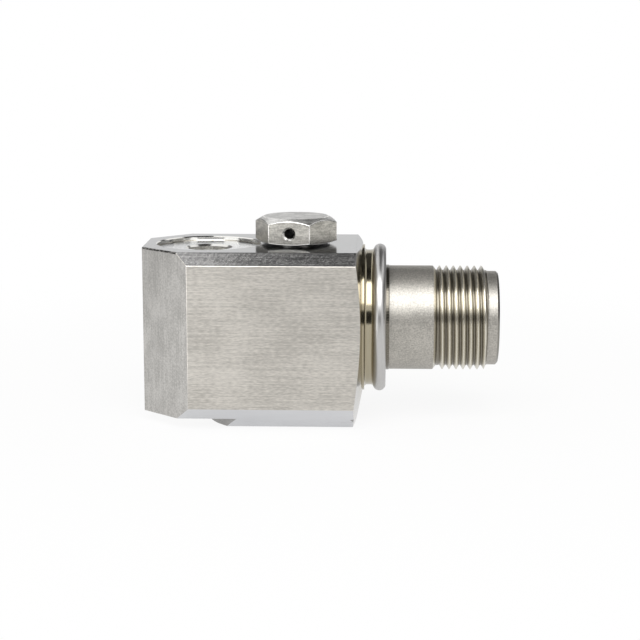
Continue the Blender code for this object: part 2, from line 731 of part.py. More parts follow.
def clamp():
    """A small bolt through the web and both masses, its head on the right and its nut on the left."""
    face = CLAMP_FACE
    head = CLAMP_HEAD_DIAMETER / 2
    shank = CLAMP_BOLT_DIAMETER / 2
    nut_thickness = CLAMP_HEAD_THICKNESS
    end = face + nut_thickness + CLAMP_BOLT_END
    bolt = turned(
        "clamp_bolt",
        [
            (0, -end),
            (shank, -end),
            (shank, face),
            (head, face),
            (head, face + CLAMP_HEAD_THICKNESS),
            (0, face + CLAMP_HEAD_THICKNESS),
        ],
        SMALL_STEPS,
        screw_stainless(),
    )
    bolt.matrix_world = Matrix.Translation((CHAMBER_X, 0, CLAMP_Z)) @ ALONG_X
    outline = []
    for index in range(6):
        angle = math.radians(60 * index)
        outline.append((head * math.cos(angle), head * math.sin(angle)))
    nut = prism("clamp_nut", outline, nut_thickness, screw_stainless())
    nut.matrix_world = Matrix.Translation((CHAMBER_X - face - nut_thickness, 0, CLAMP_Z)) @ ALONG_X
    outside = (CHAMBER_X - 2 * end, 0, CLAMP_Z)
    drill(nut, "nut_hole", CLAMP_BOLT_DIAMETER + 2 * FIT, outside, (1, 0, 0), 4 * end)


def shield_can():
    """A thin drawn can, open below, that stands on the isolating disc over the element."""
    top = CAN_HEIGHT - CAN_WALL
    can = turned(
        "shield_can",
        [
            (CAN_INNER_RADIUS, 0),
            (CAN_OUTER_RADIUS, 0),
            (CAN_OUTER_RADIUS, CAN_HEIGHT),
            (0, CAN_HEIGHT),
            (0, top),
            (CAN_INNER_RADIUS, top),
        ],
        INNER_STEPS,
        brass(),
        closed=True,
    )
    can.location = (CHAMBER_X, 0, CAN_Z)
    shim_middle = WEB_THICKNESS / 2 + FIT + CRYSTAL_THICKNESS + FIT + SHIM_THICKNESS / 2
    lead_start = CLAMP_Z + CRYSTAL_HEIGHT / 2 + FIT
    lead_length = BOARD_Z - FIT - lead_start
    for side, side_name in ((-1, "left"), (1, "right")):
        x = CHAMBER_X + side * shim_middle
        drill(can, "can_hole_" + side_name, CAN_LEAD_HOLE_DIAMETER, (x, 0, CAN_Z + CAN_HEIGHT / 2), (0, 0, 1),
              CAN_HEIGHT)
        wire = disc("crystal_lead_" + side_name, FINE_LEAD_DIAMETER / 2, lead_length, SMALL_STEPS, brass())
        wire.location = (x, 0, lead_start)


# Amplifier
def amplifier():
    board_radius = CHAMBER_RADIUS - 2 * FIT
    spacer = turned(
        "board_spacer",
        [
            (board_radius - SPACER_WALL, 0),
            (board_radius, 0),
            (board_radius, SPACER_HEIGHT),
            (board_radius - SPACER_WALL, SPACER_HEIGHT),
        ],
        INNER_STEPS,
        moulded_black(),
        closed=True,
    )
    spacer.location = (CHAMBER_X, 0, SPACER_Z)
    board = disc("amplifier_board", board_radius, AMPLIFIER_BOARD_THICKNESS, INNER_STEPS, circuit_board())
    board.location = (CHAMBER_X, 0, BOARD_Z)
    parts_z = BOARD_TOP_Z + FIT
    row = -(CHIP_SIZE[1] + 2 * FIT) / 2
    chip = slab("amplifier_chip", *CHIP_SIZE, moulded_black())
    chip.location = (CHAMBER_X, row, parts_z)
    capacitor = slab("filter_capacitor", *CAPACITOR_SIZE, piezo_ceramic())
    capacitor.location = (CHAMBER_X - CAPACITOR_SIZE[0] / 2 - FIT, CAPACITOR_SIZE[1] / 2 + FIT, parts_z)
    resistor = slab("bias_resistor", *RESISTOR_SIZE, moulded_black())
    resistor.location = (CHAMBER_X + RESISTOR_SIZE[0] / 2 + FIT, RESISTOR_SIZE[1] / 2 + FIT, parts_z)


def amplifier_leads():
    """Two wires from the amplifier board, one over the other through the passage, to the terminal board."""
    board_end = TERMINAL_BOARD_X - FIT
    inner_side = PASSAGE_SIDE - LEAD_INSET
    sleeves = (
        ("signal_lead", 1, lead_sleeve("red_sleeve", (0.60, 0.05, 0.04))),
        ("return_lead", -1, lead_sleeve("black_sleeve", (0.04, 0.04, 0.04))),
    )
    for name, level, sleeve in sleeves:
        above = Vector((0, 0, level * LEAD_SPACING / 2))
        start_x = CHAMBER_X - level * LEAD_SPACING
        entry = PASSAGE_START + above
        leave = PASSAGE_END + above
        route = [
            (start_x, PASSAGE_SIDE, BOARD_TOP_Z + FIT),
            (start_x, PASSAGE_SIDE, entry.z - LEAD_DIAMETER),
            (start_x + LEAD_DIAMETER, PASSAGE_SIDE, entry.z),
            (start_x + 3 * LEAD_DIAMETER, PASSAGE_SIDE, entry.z),
            entry.lerp(leave, 0.5),
            leave,
            ((CONNECTOR_BORE_X + board_end) / 2, (PASSAGE_SIDE + inner_side) / 2, leave.z),
            (board_end, inner_side, leave.z),
        ]
        lead(name, route, LEAD_DIAMETER, sleeve)


for old in list(bpy.data.objects):
    bpy.data.objects.remove(old, do_unlink=True)

housing()
mounting_screw()
chamber_lid()
connector_shell()
seal_and_pins()
temperature_sensor()
element_stack()
shield_can()
amplifier()
amplifier_leads()
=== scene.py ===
# A low, side-exit industrial vibration sensor: a stainless steel block on a round mounting pad,
# with a welded chamber lid, a drilled-head mounting screw and a threaded connector.
# Metres, +Z up, +X towards the connector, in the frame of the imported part.

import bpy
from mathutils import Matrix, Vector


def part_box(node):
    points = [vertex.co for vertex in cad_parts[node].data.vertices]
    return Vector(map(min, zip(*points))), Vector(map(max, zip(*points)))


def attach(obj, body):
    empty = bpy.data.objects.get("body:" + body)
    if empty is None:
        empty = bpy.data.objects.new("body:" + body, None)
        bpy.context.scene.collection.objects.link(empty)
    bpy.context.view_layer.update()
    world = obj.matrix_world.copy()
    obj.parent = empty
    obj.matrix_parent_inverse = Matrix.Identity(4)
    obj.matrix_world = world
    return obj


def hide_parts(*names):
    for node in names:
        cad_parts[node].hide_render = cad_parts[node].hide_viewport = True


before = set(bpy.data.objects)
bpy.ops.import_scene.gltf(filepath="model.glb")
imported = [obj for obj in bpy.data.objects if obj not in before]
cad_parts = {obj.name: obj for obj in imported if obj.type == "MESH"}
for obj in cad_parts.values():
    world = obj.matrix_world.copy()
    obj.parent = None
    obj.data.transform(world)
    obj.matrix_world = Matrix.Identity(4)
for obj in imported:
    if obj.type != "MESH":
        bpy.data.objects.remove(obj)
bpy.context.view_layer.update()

import math

import bmesh
import bpy
from mathutils import Matrix, Vector

# Block
# One length of stainless bar, ground on its flats, with both left-hand corners milled off and its
# right-hand end turned to a cone, a thin land, a groove and a round bead. The underside is relieved
# around a round pad. Its chamber, screw hole and connector bore are drilled from three sides.
MM = 0.001
FIT = 0.3 * MM
MERGE = 0.001 * MM

block_low, block_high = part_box("housing")
lid_low, lid_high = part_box("chamber_lid")
screw_low, screw_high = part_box("mounting_screw")
shell_low, shell_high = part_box("connector_shell")
BLOCK_HEIGHT = block_high.z
HALF_WIDTH = block_high.y
LEFT_END = block_low.x
BLOCK_END = block_high.x
SCREW_X = (screw_low.x + screw_high.x) / 2
CHAMBER_X = (lid_low.x + lid_high.x) / 2
AXIS_HEIGHT = (shell_low.z + shell_high.z) / 2

END_FLAT = 5.3 * MM
CORNER_CUT = 7.4 * MM
TOP_CHAMFER = 1.8 * MM
BOTTOM_CHAMFER = 3.25 * MM
PAD_RADIUS = 13.5 * MM
PAD_HEIGHT = 1.45 * MM
CONE_ANGLE = math.radians(11.5)
LAND_RADIUS = 11.1 * MM
LAND_LENGTH = 0.25 * MM
GROOVE_DEPTH = 0.8 * MM
GROOVE_LENGTH = 1.35 * MM
GROOVE_CORNER = 0.45 * MM
BEAD_RADIUS = 11.2 * MM
BEAD_LENGTH = 1.9 * MM
LID_BORE_RADIUS = 7.875 * MM
CHAMBER_RADIUS = 7.275 * MM
CHAMBER_FLOOR = 3.8 * MM
SCREW_HOLE_RADIUS = 3.475 * MM
CONNECTOR_BORE_RADIUS = 7.0 * MM
BORE_FROM_SCREW = 4.575 * MM
RIM_BREAK = 0.15 * MM
EDGE_ROUND = 0.07 * MM
BURR_WIDTH = 0.26 * MM
TURNING_MARGIN = 0.05 * MM
EDGE_STEPS = 3
ROUND_STEPS = 192
BORE_STEPS = 96
SHARP = math.radians(24)
FLAT_CREASE = math.radians(32)
LAND_X = BLOCK_END - LAND_LENGTH - GROOVE_LENGTH - BEAD_LENGTH

STEEL = (0.60, 0.585, 0.56)
STEEL_COOL = (0.60, 0.605, 0.61)
STEEL_SHADE = (0.50, 0.48, 0.455)
# Straw weld tint, darker than the tint alone: painted shade in the groove.
STRAW_AND_SHADE = (0.36, 0.315, 0.215)
BURR = (0.03, 0.028, 0.026)


class Amount:
    """A socket of a shader, so that shader sums are written as plain sums."""

    def __init__(self, shading, socket):
        self.shading = shading
        self.socket = socket

    def __add__(self, other):
        return self.shading.math("ADD", self, other)

    def __rsub__(self, other):
        return self.shading.math("SUBTRACT", other, self)

    def __mul__(self, other):
        return self.shading.math("MULTIPLY", self, other)

    def __truediv__(self, other):
        return self.shading.math("DIVIDE", self, other)

    def __pow__(self, other):
        return self.shading.math("POWER", self, other)

    __radd__ = __add__
    __rmul__ = __mul__


class Shading:
    """The nodes of a material or of the world."""

    def __init__(self, tree):
        self.tree = tree

    def put(self, socket, value):
        if isinstance(value, Amount):
            self.tree.links.new(value.socket, socket)
        elif hasattr(socket.default_value, "__len__") and len(socket.default_value) == 4:
            socket.default_value = (*value, 1.0)
        else:
            socket.default_value = value

    def node(self, kind, settings, inputs, output=0):
        """Any node: its settings first, then the values or links of its sockets."""
        made = self.tree.nodes.new(kind)
        for name, value in settings.items():
            setattr(made, name, value)
        for name, value in inputs.items():
            self.put(made.inputs[name], value)
        return Amount(self, made.outputs[output])

    def math(self, operation, first, second=0.0):
        return self.node("ShaderNodeMath", {"operation": operation}, {0: first, 1: second})


class Finish(Shading):
    """One node material, with its Principled shader."""

    def __init__(self, name, colour, roughness, metallic=1.0):
        self.material = bpy.data.materials.new(name)
        self.material.use_nodes = True
        super().__init__(self.material.node_tree)
        self.shader = self.tree.nodes["Principled BSDF"]
        self.set("Base Color", colour)
        self.set("Roughness", roughness)
        self.set("Metallic", metallic)

    def set(self, name, value):
        self.put(self.shader.inputs[name], value)

    def tone(self, amount, dark, light):
        """Base colour, from dark at 0 to light at 1."""
        self.set("Base Color", self.blend(amount, dark, light))

    def spread(self, value, low, high):
        """0 at low, 1 at high, smooth between."""
        settings = {"interpolation_type": "SMOOTHSTEP"}
        return self.node("ShaderNodeMapRange", settings, {"Value": value, "From Min": low, "From Max": high})

    def blend(self, amount, first, second):
        """Mixes two colours."""
        inputs = {0: amount, 6: first, 7: second}
        return self.node("ShaderNodeMix", {"data_type": "RGBA"}, inputs, output=2)

    def place(self):
        return self.node("ShaderNodeTexCoord", {}, {}, output="Object")

    def parts(self, vector):
        first = self.node("ShaderNodeSeparateXYZ", {}, {0: vector})
        return [Amount(self, socket) for socket in first.socket.node.outputs]

    def join(self, x, y, z):
        return self.node("ShaderNodeCombineXYZ", {}, {"X": x, "Y": y, "Z": z})

    def grain(self, size, turn=(0, 0, 0), detail=3.0, vector=None):
        """Noise from 0 to 1 whose spots have the given length along each axis, in metres."""
        scale = [1 / length for length in size]
        inputs = {"Vector": vector or self.place(), "Rotation": turn}
        turned_place = self.node("ShaderNodeMapping", {"vector_type": "TEXTURE"}, inputs)
        scaled = self.node("ShaderNodeVectorMath", {"operation": "MULTIPLY"}, {0: turned_place, 1: scale})
        return self.node("ShaderNodeTexNoise", {}, {"Vector": scaled, "Scale": 1.0, "Detail": detail})

    def ring_place(self, centre, along="X"):
        """Place on a turned form: along its axis, out from it, and around it."""
        moved = self.node("ShaderNodeVectorMath", {"operation": "SUBTRACT"}, {0: self.place(), 1: centre})
        x, y, z = self.parts(moved)
        run, first, second = (x, y, z) if along == "X" else (z, x, y)
        out = (first * first + second * second) ** 0.5
        around = self.math("ARCTAN2", first, second)
        return run, out, around

    def ring_grain(self, centre, size, arc, along="X", detail=3.0):
        """Turning marks: fine rings of the given size that vary slowly around the axis."""
        run, out, around = self.ring_place(centre, along)
        vector = self.join(run / size, out / size, around / arc)
        return self.node("ShaderNodeTexNoise", {}, {"Vector": vector, "Scale": 1.0, "Detail": detail})

    def relief(self, height, depth):
        """Bump of a real depth in metres."""
        inputs = {"Strength": 1.0, "Distance": depth, "Height": height}
        self.set("Normal", self.node("ShaderNodeBump", {}, inputs))


def ground_flat():
    """Flat ground with an abrasive belt along the bar: fine level lines and a few longer ones."""
    finish = Finish("ground_flat", STEEL, 0.36)
    fine = finish.grain((0.8 * MM, 0.2 * MM, 0.2 * MM), detail=2.0)
    long = finish.grain((8 * MM, 0.22 * MM, 0.22 * MM), detail=3.0)
    cloud = finish.grain((9 * MM, 6 * MM, 6 * MM), detail=2.0)
    streak = fine * 0.45 + long * 0.3 + cloud * 0.25
    finish.tone(finish.spread(streak, 0.32, 0.68), (0.46, 0.44, 0.405), (0.75, 0.718, 0.664))
    finish.set("Roughness", 0.30 + streak * 0.12)
    finish.relief(fine, 0.004 * MM)
    return finish.material


def ground_top():
    """Ground smooth enough to mirror the screw's head, with faint lines along the bar."""
    finish = Finish("ground_top", STEEL_COOL, 0.12)
    fine = finish.grain((9 * MM, 0.2 * MM, 0.2 * MM))
    cloud = finish.grain((7 * MM, 5 * MM, 5 * MM), detail=2.0)
    finish.tone(cloud, (0.42, 0.423, 0.426), (0.51, 0.513, 0.516))
    finish.set("Roughness", 0.10 + fine * 0.07 + cloud * 0.03)
    finish.relief(fine, 0.0006 * MM)
    return finish.material


def filed_chamfer():
    """Broken by hand across the edge, so its marks slant and catch the light in specks."""
    finish = Finish("filed_chamfer", STEEL, 0.20)
    slant = finish.grain((0.24 * MM, 1.2 * MM, 1.2 * MM), turn=(0, math.radians(50), 0), detail=3.0)
    line = finish.grain((7 * MM, 0.22 * MM, 0.22 * MM), detail=3.0)
    speck = finish.grain((0.24 * MM, 0.24 * MM, 0.24 * MM), detail=2.0)
    mark = slant * 0.3 + line * 0.35 + speck * 0.35
    finish.tone(finish.spread(mark, 0.36, 0.64), (0.27, 0.27, 0.27), (0.62, 0.61, 0.60))
    finish.set("Roughness", 0.12 + mark * 0.14)
    finish.relief(mark, 0.014 * MM)
    return finish.material


def milled_corner():
    """Milled with the side of the cutter and tumbled: soft clouds, a fine grain and faint upright lines."""
    finish = Finish("milled_corner", STEEL, 0.34)
    cloud = finish.grain((2.2 * MM, 2.2 * MM, 3.6 * MM), detail=3.0)
    line = finish.grain((0.2 * MM, 0.2 * MM, 5 * MM), detail=2.0)
    speck = finish.grain((0.22 * MM, 0.22 * MM, 0.26 * MM), detail=2.0)
    mark = cloud * 0.3 + line * 0.25 + speck * 0.45
    finish.tone(finish.spread(mark, 0.36, 0.64), (0.40, 0.39, 0.372), (0.61, 0.596, 0.572))
    finish.set("Roughness", 0.28 + mark * 0.16)
    finish.relief(speck, 0.004 * MM)
    return finish.material


def lower_chamfer():
    finish = Finish("lower_chamfer", STEEL_COOL, 0.30)
    line = finish.grain((8 * MM, 0.16 * MM, 0.16 * MM))
    cloud = finish.grain((7 * MM, 3 * MM, 3 * MM), detail=2.0)
    finish.tone(line * 0.5 + cloud * 0.5, (0.58, 0.585, 0.60), (0.73, 0.735, 0.75))
    finish.set("Roughness", 0.26 + line * 0.14)
    finish.relief(line, 0.002 * MM)
    return finish.material


def turned_end():
    """Bright turning, straw-coloured in the groove from welding the connector, and darker there as painted
    shade.
    """
    finish = Finish("turned_end", STEEL, 0.16)
    centre = (LAND_X, 0, AXIS_HEIGHT)
    ring = finish.ring_grain(centre, 0.07 * MM, 1.5)
    run = finish.ring_place(centre)[0]
    heat_tint_and_shade = finish.spread(run, -0.9 * MM, 0.1 * MM) * (1 - finish.spread(run, 1.5 * MM, 2.1 * MM))
    finish.tone(heat_tint_and_shade * (0.7 + ring * 0.4), (0.60, 0.59, 0.57), STRAW_AND_SHADE)
    finish.set("Roughness", 0.09 + ring * 0.08)
    finish.relief(ring, 0.001 * MM)
    return finish.material


def satin_bead():
    """The bead, blended by hand to a satin."""
    finish = Finish("satin_bead", STEEL, 0.27)
    ring = finish.ring_grain((LAND_X, 0, AXIS_HEIGHT), 0.12 * MM, 0.5)
    speck = finish.grain((0.22 * MM, 0.22 * MM, 0.22 * MM), detail=2.0)
    mark = ring * 0.5 + speck * 0.5
    finish.tone(mark, (0.45, 0.445, 0.44), (0.65, 0.642, 0.63))
    finish.set("Roughness", 0.28 + mark * 0.12)
    finish.relief(speck, 0.002 * MM)
    return finish.material


def faced_pad():
    """The pad's face and the relieved underside, faced in one setting about the screw's axis."""
    finish = Finish("faced_pad", STEEL, 0.28)
    ring = finish.ring_grain((SCREW_X, 0, 0), 0.16 * MM, 2.5, along="Z")
    finish.tone(ring, (0.52, 0.515, 0.50), (0.66, 0.655, 0.64))
    finish.set("Roughness", 0.20 + ring * 0.16)
    finish.relief(ring, 0.004 * MM)
    return finish.material


def pad_wall_painted_shade():
    """The pad's wall, turned rough in the same setting as its face, and darker than it as painted shade."""
    finish = Finish("pad_wall_painted_shade", STEEL, 0.36)
    ring = finish.grain((2 * MM, 2 * MM, 0.12 * MM))
    finish.tone(ring, (0.31, 0.307, 0.30), (0.47, 0.465, 0.455))
    finish.set("Roughness", 0.38 + ring * 0.12)
    finish.relief(ring, 0.004 * MM)
    return finish.material


def bored_wall():
    """Bright boring, in rings about the chamber's axis."""
    finish = Finish("bored_wall", STEEL, 0.10)
    ring = finish.ring_grain((CHAMBER_X, 0, 0), 0.06 * MM, 1.2, along="Z")
    finish.tone(ring, (0.86, 0.85, 0.82), (0.97, 0.96, 0.92))
    finish.set("Roughness", 0.07 + ring * 0.08)
    finish.relief(ring, 0.0008 * MM)
    return finish.material


def drilled_wall():
    finish = Finish("drilled_wall", STEEL_SHADE, 0.30)
    ring = finish.ring_grain((SCREW_X, 0, 0), 0.1 * MM, 1.2, along="Z")
    finish.tone(ring, (0.42, 0.41, 0.39), (0.55, 0.54, 0.52))
    finish.set("Roughness", 0.22 + ring * 0.16)
    finish.relief(ring, 0.003 * MM)
    return finish.material


def burred_edge():
    """The ragged dark burr that the mill left where a corner meets the top."""
    finish = Finish("burred_edge", BURR, 0.55)
    tear = finish.grain((0.25 * MM, 0.25 * MM, 0.25 * MM), detail=4.0)
    finish.tone(finish.spread(tear, 0.46, 0.62), BURR, (0.45, 0.44, 0.42))
    finish.set("Roughness", 0.35 + tear * 0.3)
    finish.relief(tear, 0.03 * MM)
    return finish.material


def shown(name, bm, smooth_angle=SHARP):
    """A bmesh as a piece: merged, outward-facing, and smooth where it is round."""
    bmesh.ops.remove_doubles(bm, verts=bm.verts, dist=MERGE)
    bmesh.ops.recalc_face_normals(bm, faces=bm.faces)
    mesh = bpy.data.meshes.new(name)
    bm.to_mesh(mesh)
    bm.free()
    mesh.shade_smooth()
    mesh.set_sharp_from_angle(angle=smooth_angle)
    made = bpy.data.objects.new(name, mesh)
    bpy.context.scene.collection.objects.link(made)
    return made


def lathe(name, profile, along, centre, steps=ROUND_STEPS, closed=False):
    """A turned form from (radius, run) points, about X or Z through a centre."""
    bm = bmesh.new()
    verts = [bm.verts.new((radius, 0, run)) for radius, run in profile]
    edges = [bm.edges.new(pair) for pair in zip(verts, verts[1:])]
    if closed:
        edges.append(bm.edges.new((verts[-1], verts[0])))
    bmesh.ops.spin(bm, geom=verts + edges, cent=(0, 0, 0), axis=(0, 0, 1), angle=math.tau, steps=steps)
    if along == "X":
        bmesh.ops.transform(bm, matrix=Matrix.Rotation(math.radians(90), 4, "Y"), verts=bm.verts)
    bmesh.ops.translate(bm, verts=bm.verts, vec=centre)
    return shown(name, bm)


def arc(centre, radius, start, end, steps):
    """Points along an arc, in degrees."""
    angles = [math.radians(start + (end - start) * step / steps) for step in range(steps + 1)]
    return [(centre[0] + radius * math.cos(a), centre[1] + radius * math.sin(a)) for a in angles]


def carve(target, tool, operation="DIFFERENCE"):
    """Carries out one Boolean on the target, and removes its tool."""
    boolean = target.modifiers.new(tool.name, "BOOLEAN")
    boolean.operation = operation
    boolean.solver = "EXACT"
    boolean.object = tool
    bpy.context.view_layer.update()
    graph = bpy.context.evaluated_depsgraph_get()
    mesh = bpy.data.meshes.new_from_object(target.evaluated_get(graph))
    target.modifiers.clear()
    target.data = mesh
    bpy.data.objects.remove(tool, do_unlink=True)


def bar_stock():
    """The bar's eight-sided section, pushed along X, less both left-hand corners."""
    section = [
        (-HALF_WIDTH + BOTTOM_CHAMFER, 0),
        (HALF_WIDTH - BOTTOM_CHAMFER, 0),
        (HALF_WIDTH, BOTTOM_CHAMFER),
        (HALF_WIDTH, BLOCK_HEIGHT - TOP_CHAMFER),
        (HALF_WIDTH - TOP_CHAMFER, BLOCK_HEIGHT),
        (-HALF_WIDTH + TOP_CHAMFER, BLOCK_HEIGHT),
        (-HALF_WIDTH, BLOCK_HEIGHT - TOP_CHAMFER),
        (-HALF_WIDTH, BOTTOM_CHAMFER),
    ]
    bm = bmesh.new()
    face = bm.faces.new([bm.verts.new((LEFT_END, y, z)) for y, z in section])
    pushed = bmesh.ops.extrude_face_region(bm, geom=[face])
    far = [item for item in pushed["geom"] if isinstance(item, bmesh.types.BMVert)]
    bmesh.ops.translate(bm, verts=far, vec=(BLOCK_END + 2 * HALF_WIDTH - LEFT_END, 0, 0))
    for side in (-1, 1):
        cut = bmesh.ops.bisect_plane(
            bm,
            geom=bm.verts[:] + bm.edges[:] + bm.faces[:],
            dist=MERGE,
            plane_co=(LEFT_END, side * END_FLAT, 0),
            plane_no=(END_FLAT - HALF_WIDTH, side * CORNER_CUT, 0),
            clear_outer=True,
        )
        rim = [item for item in cut["geom_cut"] if isinstance(item, bmesh.types.BMEdge)]
        bmesh.ops.holes_fill(bm, edges=rim, sides=0)
    return shown("block", bm)


def turning_profile():
    """Everything the lathe leaves on the connector's axis: cone, land, groove and bead."""
    reach = 2 * (HALF_WIDTH + BLOCK_HEIGHT)
    bead_round = BEAD_LENGTH / 2
    groove_floor = LAND_RADIUS - GROOVE_DEPTH + GROOVE_CORNER
    middle = (BEAD_RADIUS - bead_round, LAND_LENGTH + GROOVE_LENGTH + bead_round)
    lean = math.acos((groove_floor - middle[0]) / (bead_round + GROOVE_CORNER))
    second = (groove_floor, middle[1] - (bead_round + GROOVE_CORNER) * math.sin(lean))
    lean = math.degrees(lean)
    points = [(0, -reach), (reach, -reach), (reach, -(reach - LAND_RADIUS) * math.tan(CONE_ANGLE))]
    points += [(LAND_RADIUS, 0), (LAND_RADIUS, LAND_LENGTH)]
    points += arc((groove_floor, LAND_LENGTH + GROOVE_CORNER), GROOVE_CORNER, 270, 180, 8)
    points += arc(second, GROOVE_CORNER, 180, 180 - lean, 8)
    points += arc(middle, bead_round, -lean, 80, 26)
    points += [(BEAD_RADIUS - BEAD_LENGTH, BLOCK_END - LAND_X), (0, BLOCK_END - LAND_X)]
    return points


def rounded(made, wanted, offset, slot_index=-1):
    """Rounds the sharp edges that are wanted, all by one small radius."""
    bm = bmesh.new()
    bm.from_mesh(made.data)
    bmesh.ops.remove_doubles(bm, verts=bm.verts, dist=MERGE)
    edges = []
    for edge in bm.edges:
        if len(edge.link_faces) == 2 and edge.calc_face_angle() > SHARP and wanted(edge):
            edges.append(edge)
    bmesh.ops.bevel(
        bm, geom=edges, offset=offset, segments=EDGE_STEPS, profile=0.5, affect="EDGES", material=slot_index
    )
    bm.to_mesh(made.data)
    bm.free()


def keep_flat(made):
    """Shades the roundings as round and the broad faces as flat."""
    made.data.shade_smooth()
    made.data.set_sharp_from_angle(angle=FLAT_CREASE)
    weighted = made.modifiers.new("flat_faces", "WEIGHTED_NORMAL")
    weighted.keep_sharp = True


def from_screw(point):
    return math.hypot(point.x - SCREW_X, point.y)


def from_chamber(point):
    return math.hypot(point.x - CHAMBER_X, point.y)


def from_axis(point):
    return math.hypot(point.y, point.z - AXIS_HEIGHT)


def in_bore(point):
    """Whether a point is on a bore's wall or rim."""
    in_connector_bore = point.x > SCREW_X and from_axis(point) < CONNECTOR_BORE_RADIUS + FIT
    return (
        from_chamber(point) < LID_BORE_RADIUS + 2 * RIM_BREAK
        or from_screw(point) < SCREW_HOLE_RADIUS + FIT
        or in_connector_bore
    )


def on_turning(point):
    return point.x > LAND_X - TURNING_MARGIN


def middle_of(edge):
    return (edge.verts[0].co + edge.verts[1].co) / 2


def block_edge(edge):
    middle = middle_of(edge)
    return not in_bore(middle) and not on_turning(middle)


def corner_top(edge):
    """The slanted edges where the milled corners meet the top."""
    ends = [vert.co for vert in edge.verts]
    level = all(abs(end.z - BLOCK_HEIGHT) < MERGE for end in ends)
    along = abs(ends[0].y - ends[1].y) > 2 * MM and abs(ends[0].x - ends[1].x) > 2 * MM
    return level and along and ends[0].x < CHAMBER_X


BLOCK_FINISHES = [
    ground_flat, ground_top, filed_chamfer, milled_corner, lower_chamfer, turned_end, faced_pad, pad_wall_painted_shade,
    bored_wall, drilled_wall, burred_edge, satin_bead,
]


def block_finish(face):
    """Which way of working a face of the block had, from where it is and how it faces."""
    at = face.center
    way = face.normal
    if from_screw(at) < SCREW_HOLE_RADIUS + MERGE and at.z < BLOCK_HEIGHT - MERGE:
        return drilled_wall
    if at.z < PAD_HEIGHT and abs(way.z) < 0.3:
        return pad_wall_painted_shade
    in_chamber = from_chamber(at) < LID_BORE_RADIUS + 2 * RIM_BREAK
    if in_chamber and (way.z < 0.9 or at.z < BLOCK_HEIGHT - RIM_BREAK):
        return bored_wall
    if at.x > BLOCK_END - BEAD_LENGTH and from_axis(at) > CONNECTOR_BORE_RADIUS + FIT:
        return satin_bead
    if on_turning(at) or (way.x > 0.9 and at.x > SCREW_X):
        return turned_end
    if way.z > 0.93:
        return ground_top
    if way.z < -0.9:
        return faced_pad
    if way.x < -0.5:
        return milled_corner
    if way.z > 0.66:
        return filed_chamfer
    if way.z < -0.35:
        return lower_chamfer
    return ground_flat


def build_block():
    block = bar_stock()
    carve(block, lathe("turning", turning_profile(), "X", (LAND_X, 0, AXIS_HEIGHT)), "INTERSECT")
    beyond = 2 * HALF_WIDTH + BLOCK_HEIGHT
    relief = [(PAD_RADIUS, -MM), (beyond, -MM), (beyond, PAD_HEIGHT), (PAD_RADIUS, PAD_HEIGHT)]
    carve(block, lathe("relief", relief, "Z", (SCREW_X, 0, 0), closed=True))
    chamber = [
        (0, CHAMBER_FLOOR),
        (CHAMBER_RADIUS, CHAMBER_FLOOR),
        (CHAMBER_RADIUS, lid_low.z - FIT),
        (LID_BORE_RADIUS, lid_low.z - FIT),
        (LID_BORE_RADIUS, BLOCK_HEIGHT - RIM_BREAK),
        (LID_BORE_RADIUS + 2 * RIM_BREAK, BLOCK_HEIGHT + RIM_BREAK),
        (0, BLOCK_HEIGHT + RIM_BREAK),
    ]
    carve(block, lathe("chamber", chamber, "Z", (CHAMBER_X, 0, 0)))
    hole = [(0, -MM), (SCREW_HOLE_RADIUS, -MM), (SCREW_HOLE_RADIUS, beyond), (0, beyond)]
    carve(block, lathe("hole", hole, "Z", (SCREW_X, 0, 0), BORE_STEPS))
    bore = [(0, 0), (CONNECTOR_BORE_RADIUS, 0), (CONNECTOR_BORE_RADIUS, beyond), (0, beyond)]
    carve(block, lathe("bore", bore, "X", (SCREW_X + BORE_FROM_SCREW, 0, AXIS_HEIGHT), BORE_STEPS))
    block.data.materials.clear()
    for finish in BLOCK_FINISHES:
        block.data.materials.append(finish())
    burr = BLOCK_FINISHES.index(burred_edge)
    rounded(block, corner_top, BURR_WIDTH, burr)
    rounded(block, block_edge, EDGE_ROUND)
    for vert in block.data.vertices:
        vert.co.x = max(vert.co.x, LEFT_END)
    for face in block.data.polygons:
        if face.material_index != burr:
            face.material_index = BLOCK_FINISHES.index(block_finish(face))
    keep_flat(block)
    return block


block = build_block()
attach(block, "root")
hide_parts("housing")


# Chamber lid
# A turned stainless plug pressed into the chamber's mouth and laser-welded around its edge, just
# below the block's top. A blind socket in its middle, with broken edges, takes a fitting tool.
LID_RADIUS = 7.575 * MM
LID_SOCKET_RADIUS = 3.25 * MM
LID_SOCKET_DEPTH = 1.8 * MM
LID_SOCKET_RIM = 0.3 * MM
LID_WELD_HEIGHT = 0.05 * MM
WELD_POOLS = 110
LID_STEPS = 128


def lid_face():
    """Fine facing rings about the chamber's axis, cooler than the wall around them, toned near white as
    painted light.
    """
    finish = Finish("lid_face", STEEL_COOL, 0.26)
    ring = finish.ring_grain((CHAMBER_X, 0, 0), 0.09 * MM, 2.0, along="Z")
    finish.tone(ring, (0.88, 0.885, 0.89), (0.99, 0.995, 0.995))
    finish.set("Roughness", 0.20 + ring * 0.12)
    finish.relief(ring, 0.0015 * MM)
    return finish.material


def socket_wall():
    """The socket's wall and countersink, left bright by the end mill."""
    finish = Finish("socket_wall", STEEL, 0.3)
    ring = finish.ring_grain((CHAMBER_X, 0, 0), 0.08 * MM, 1.2, along="Z")
    finish.tone(ring, (0.80, 0.79, 0.76), (0.93, 0.92, 0.89))
    finish.set("Roughness", 0.12 + ring * 0.1)
    finish.relief(ring, 0.0008 * MM)
    return finish.material


def weld_seam(name, centre, along, dark, light):
    """A laser weld left as it was: small overlapping pools, a little straw-coloured."""
    finish = Finish(name, STEEL, 0.22)
    around = finish.ring_place(centre, along)[2]
    pool = finish.math("FRACT", around * (WELD_POOLS / math.tau))
    fleck = finish.grain((0.15 * MM, 0.15 * MM, 0.15 * MM))
    finish.tone(fleck, dark, light)
    finish.set("Roughness", 0.16 + pool * 0.14)
    finish.relief(pool * (1 - pool), 0.02 * MM)
    return finish.material


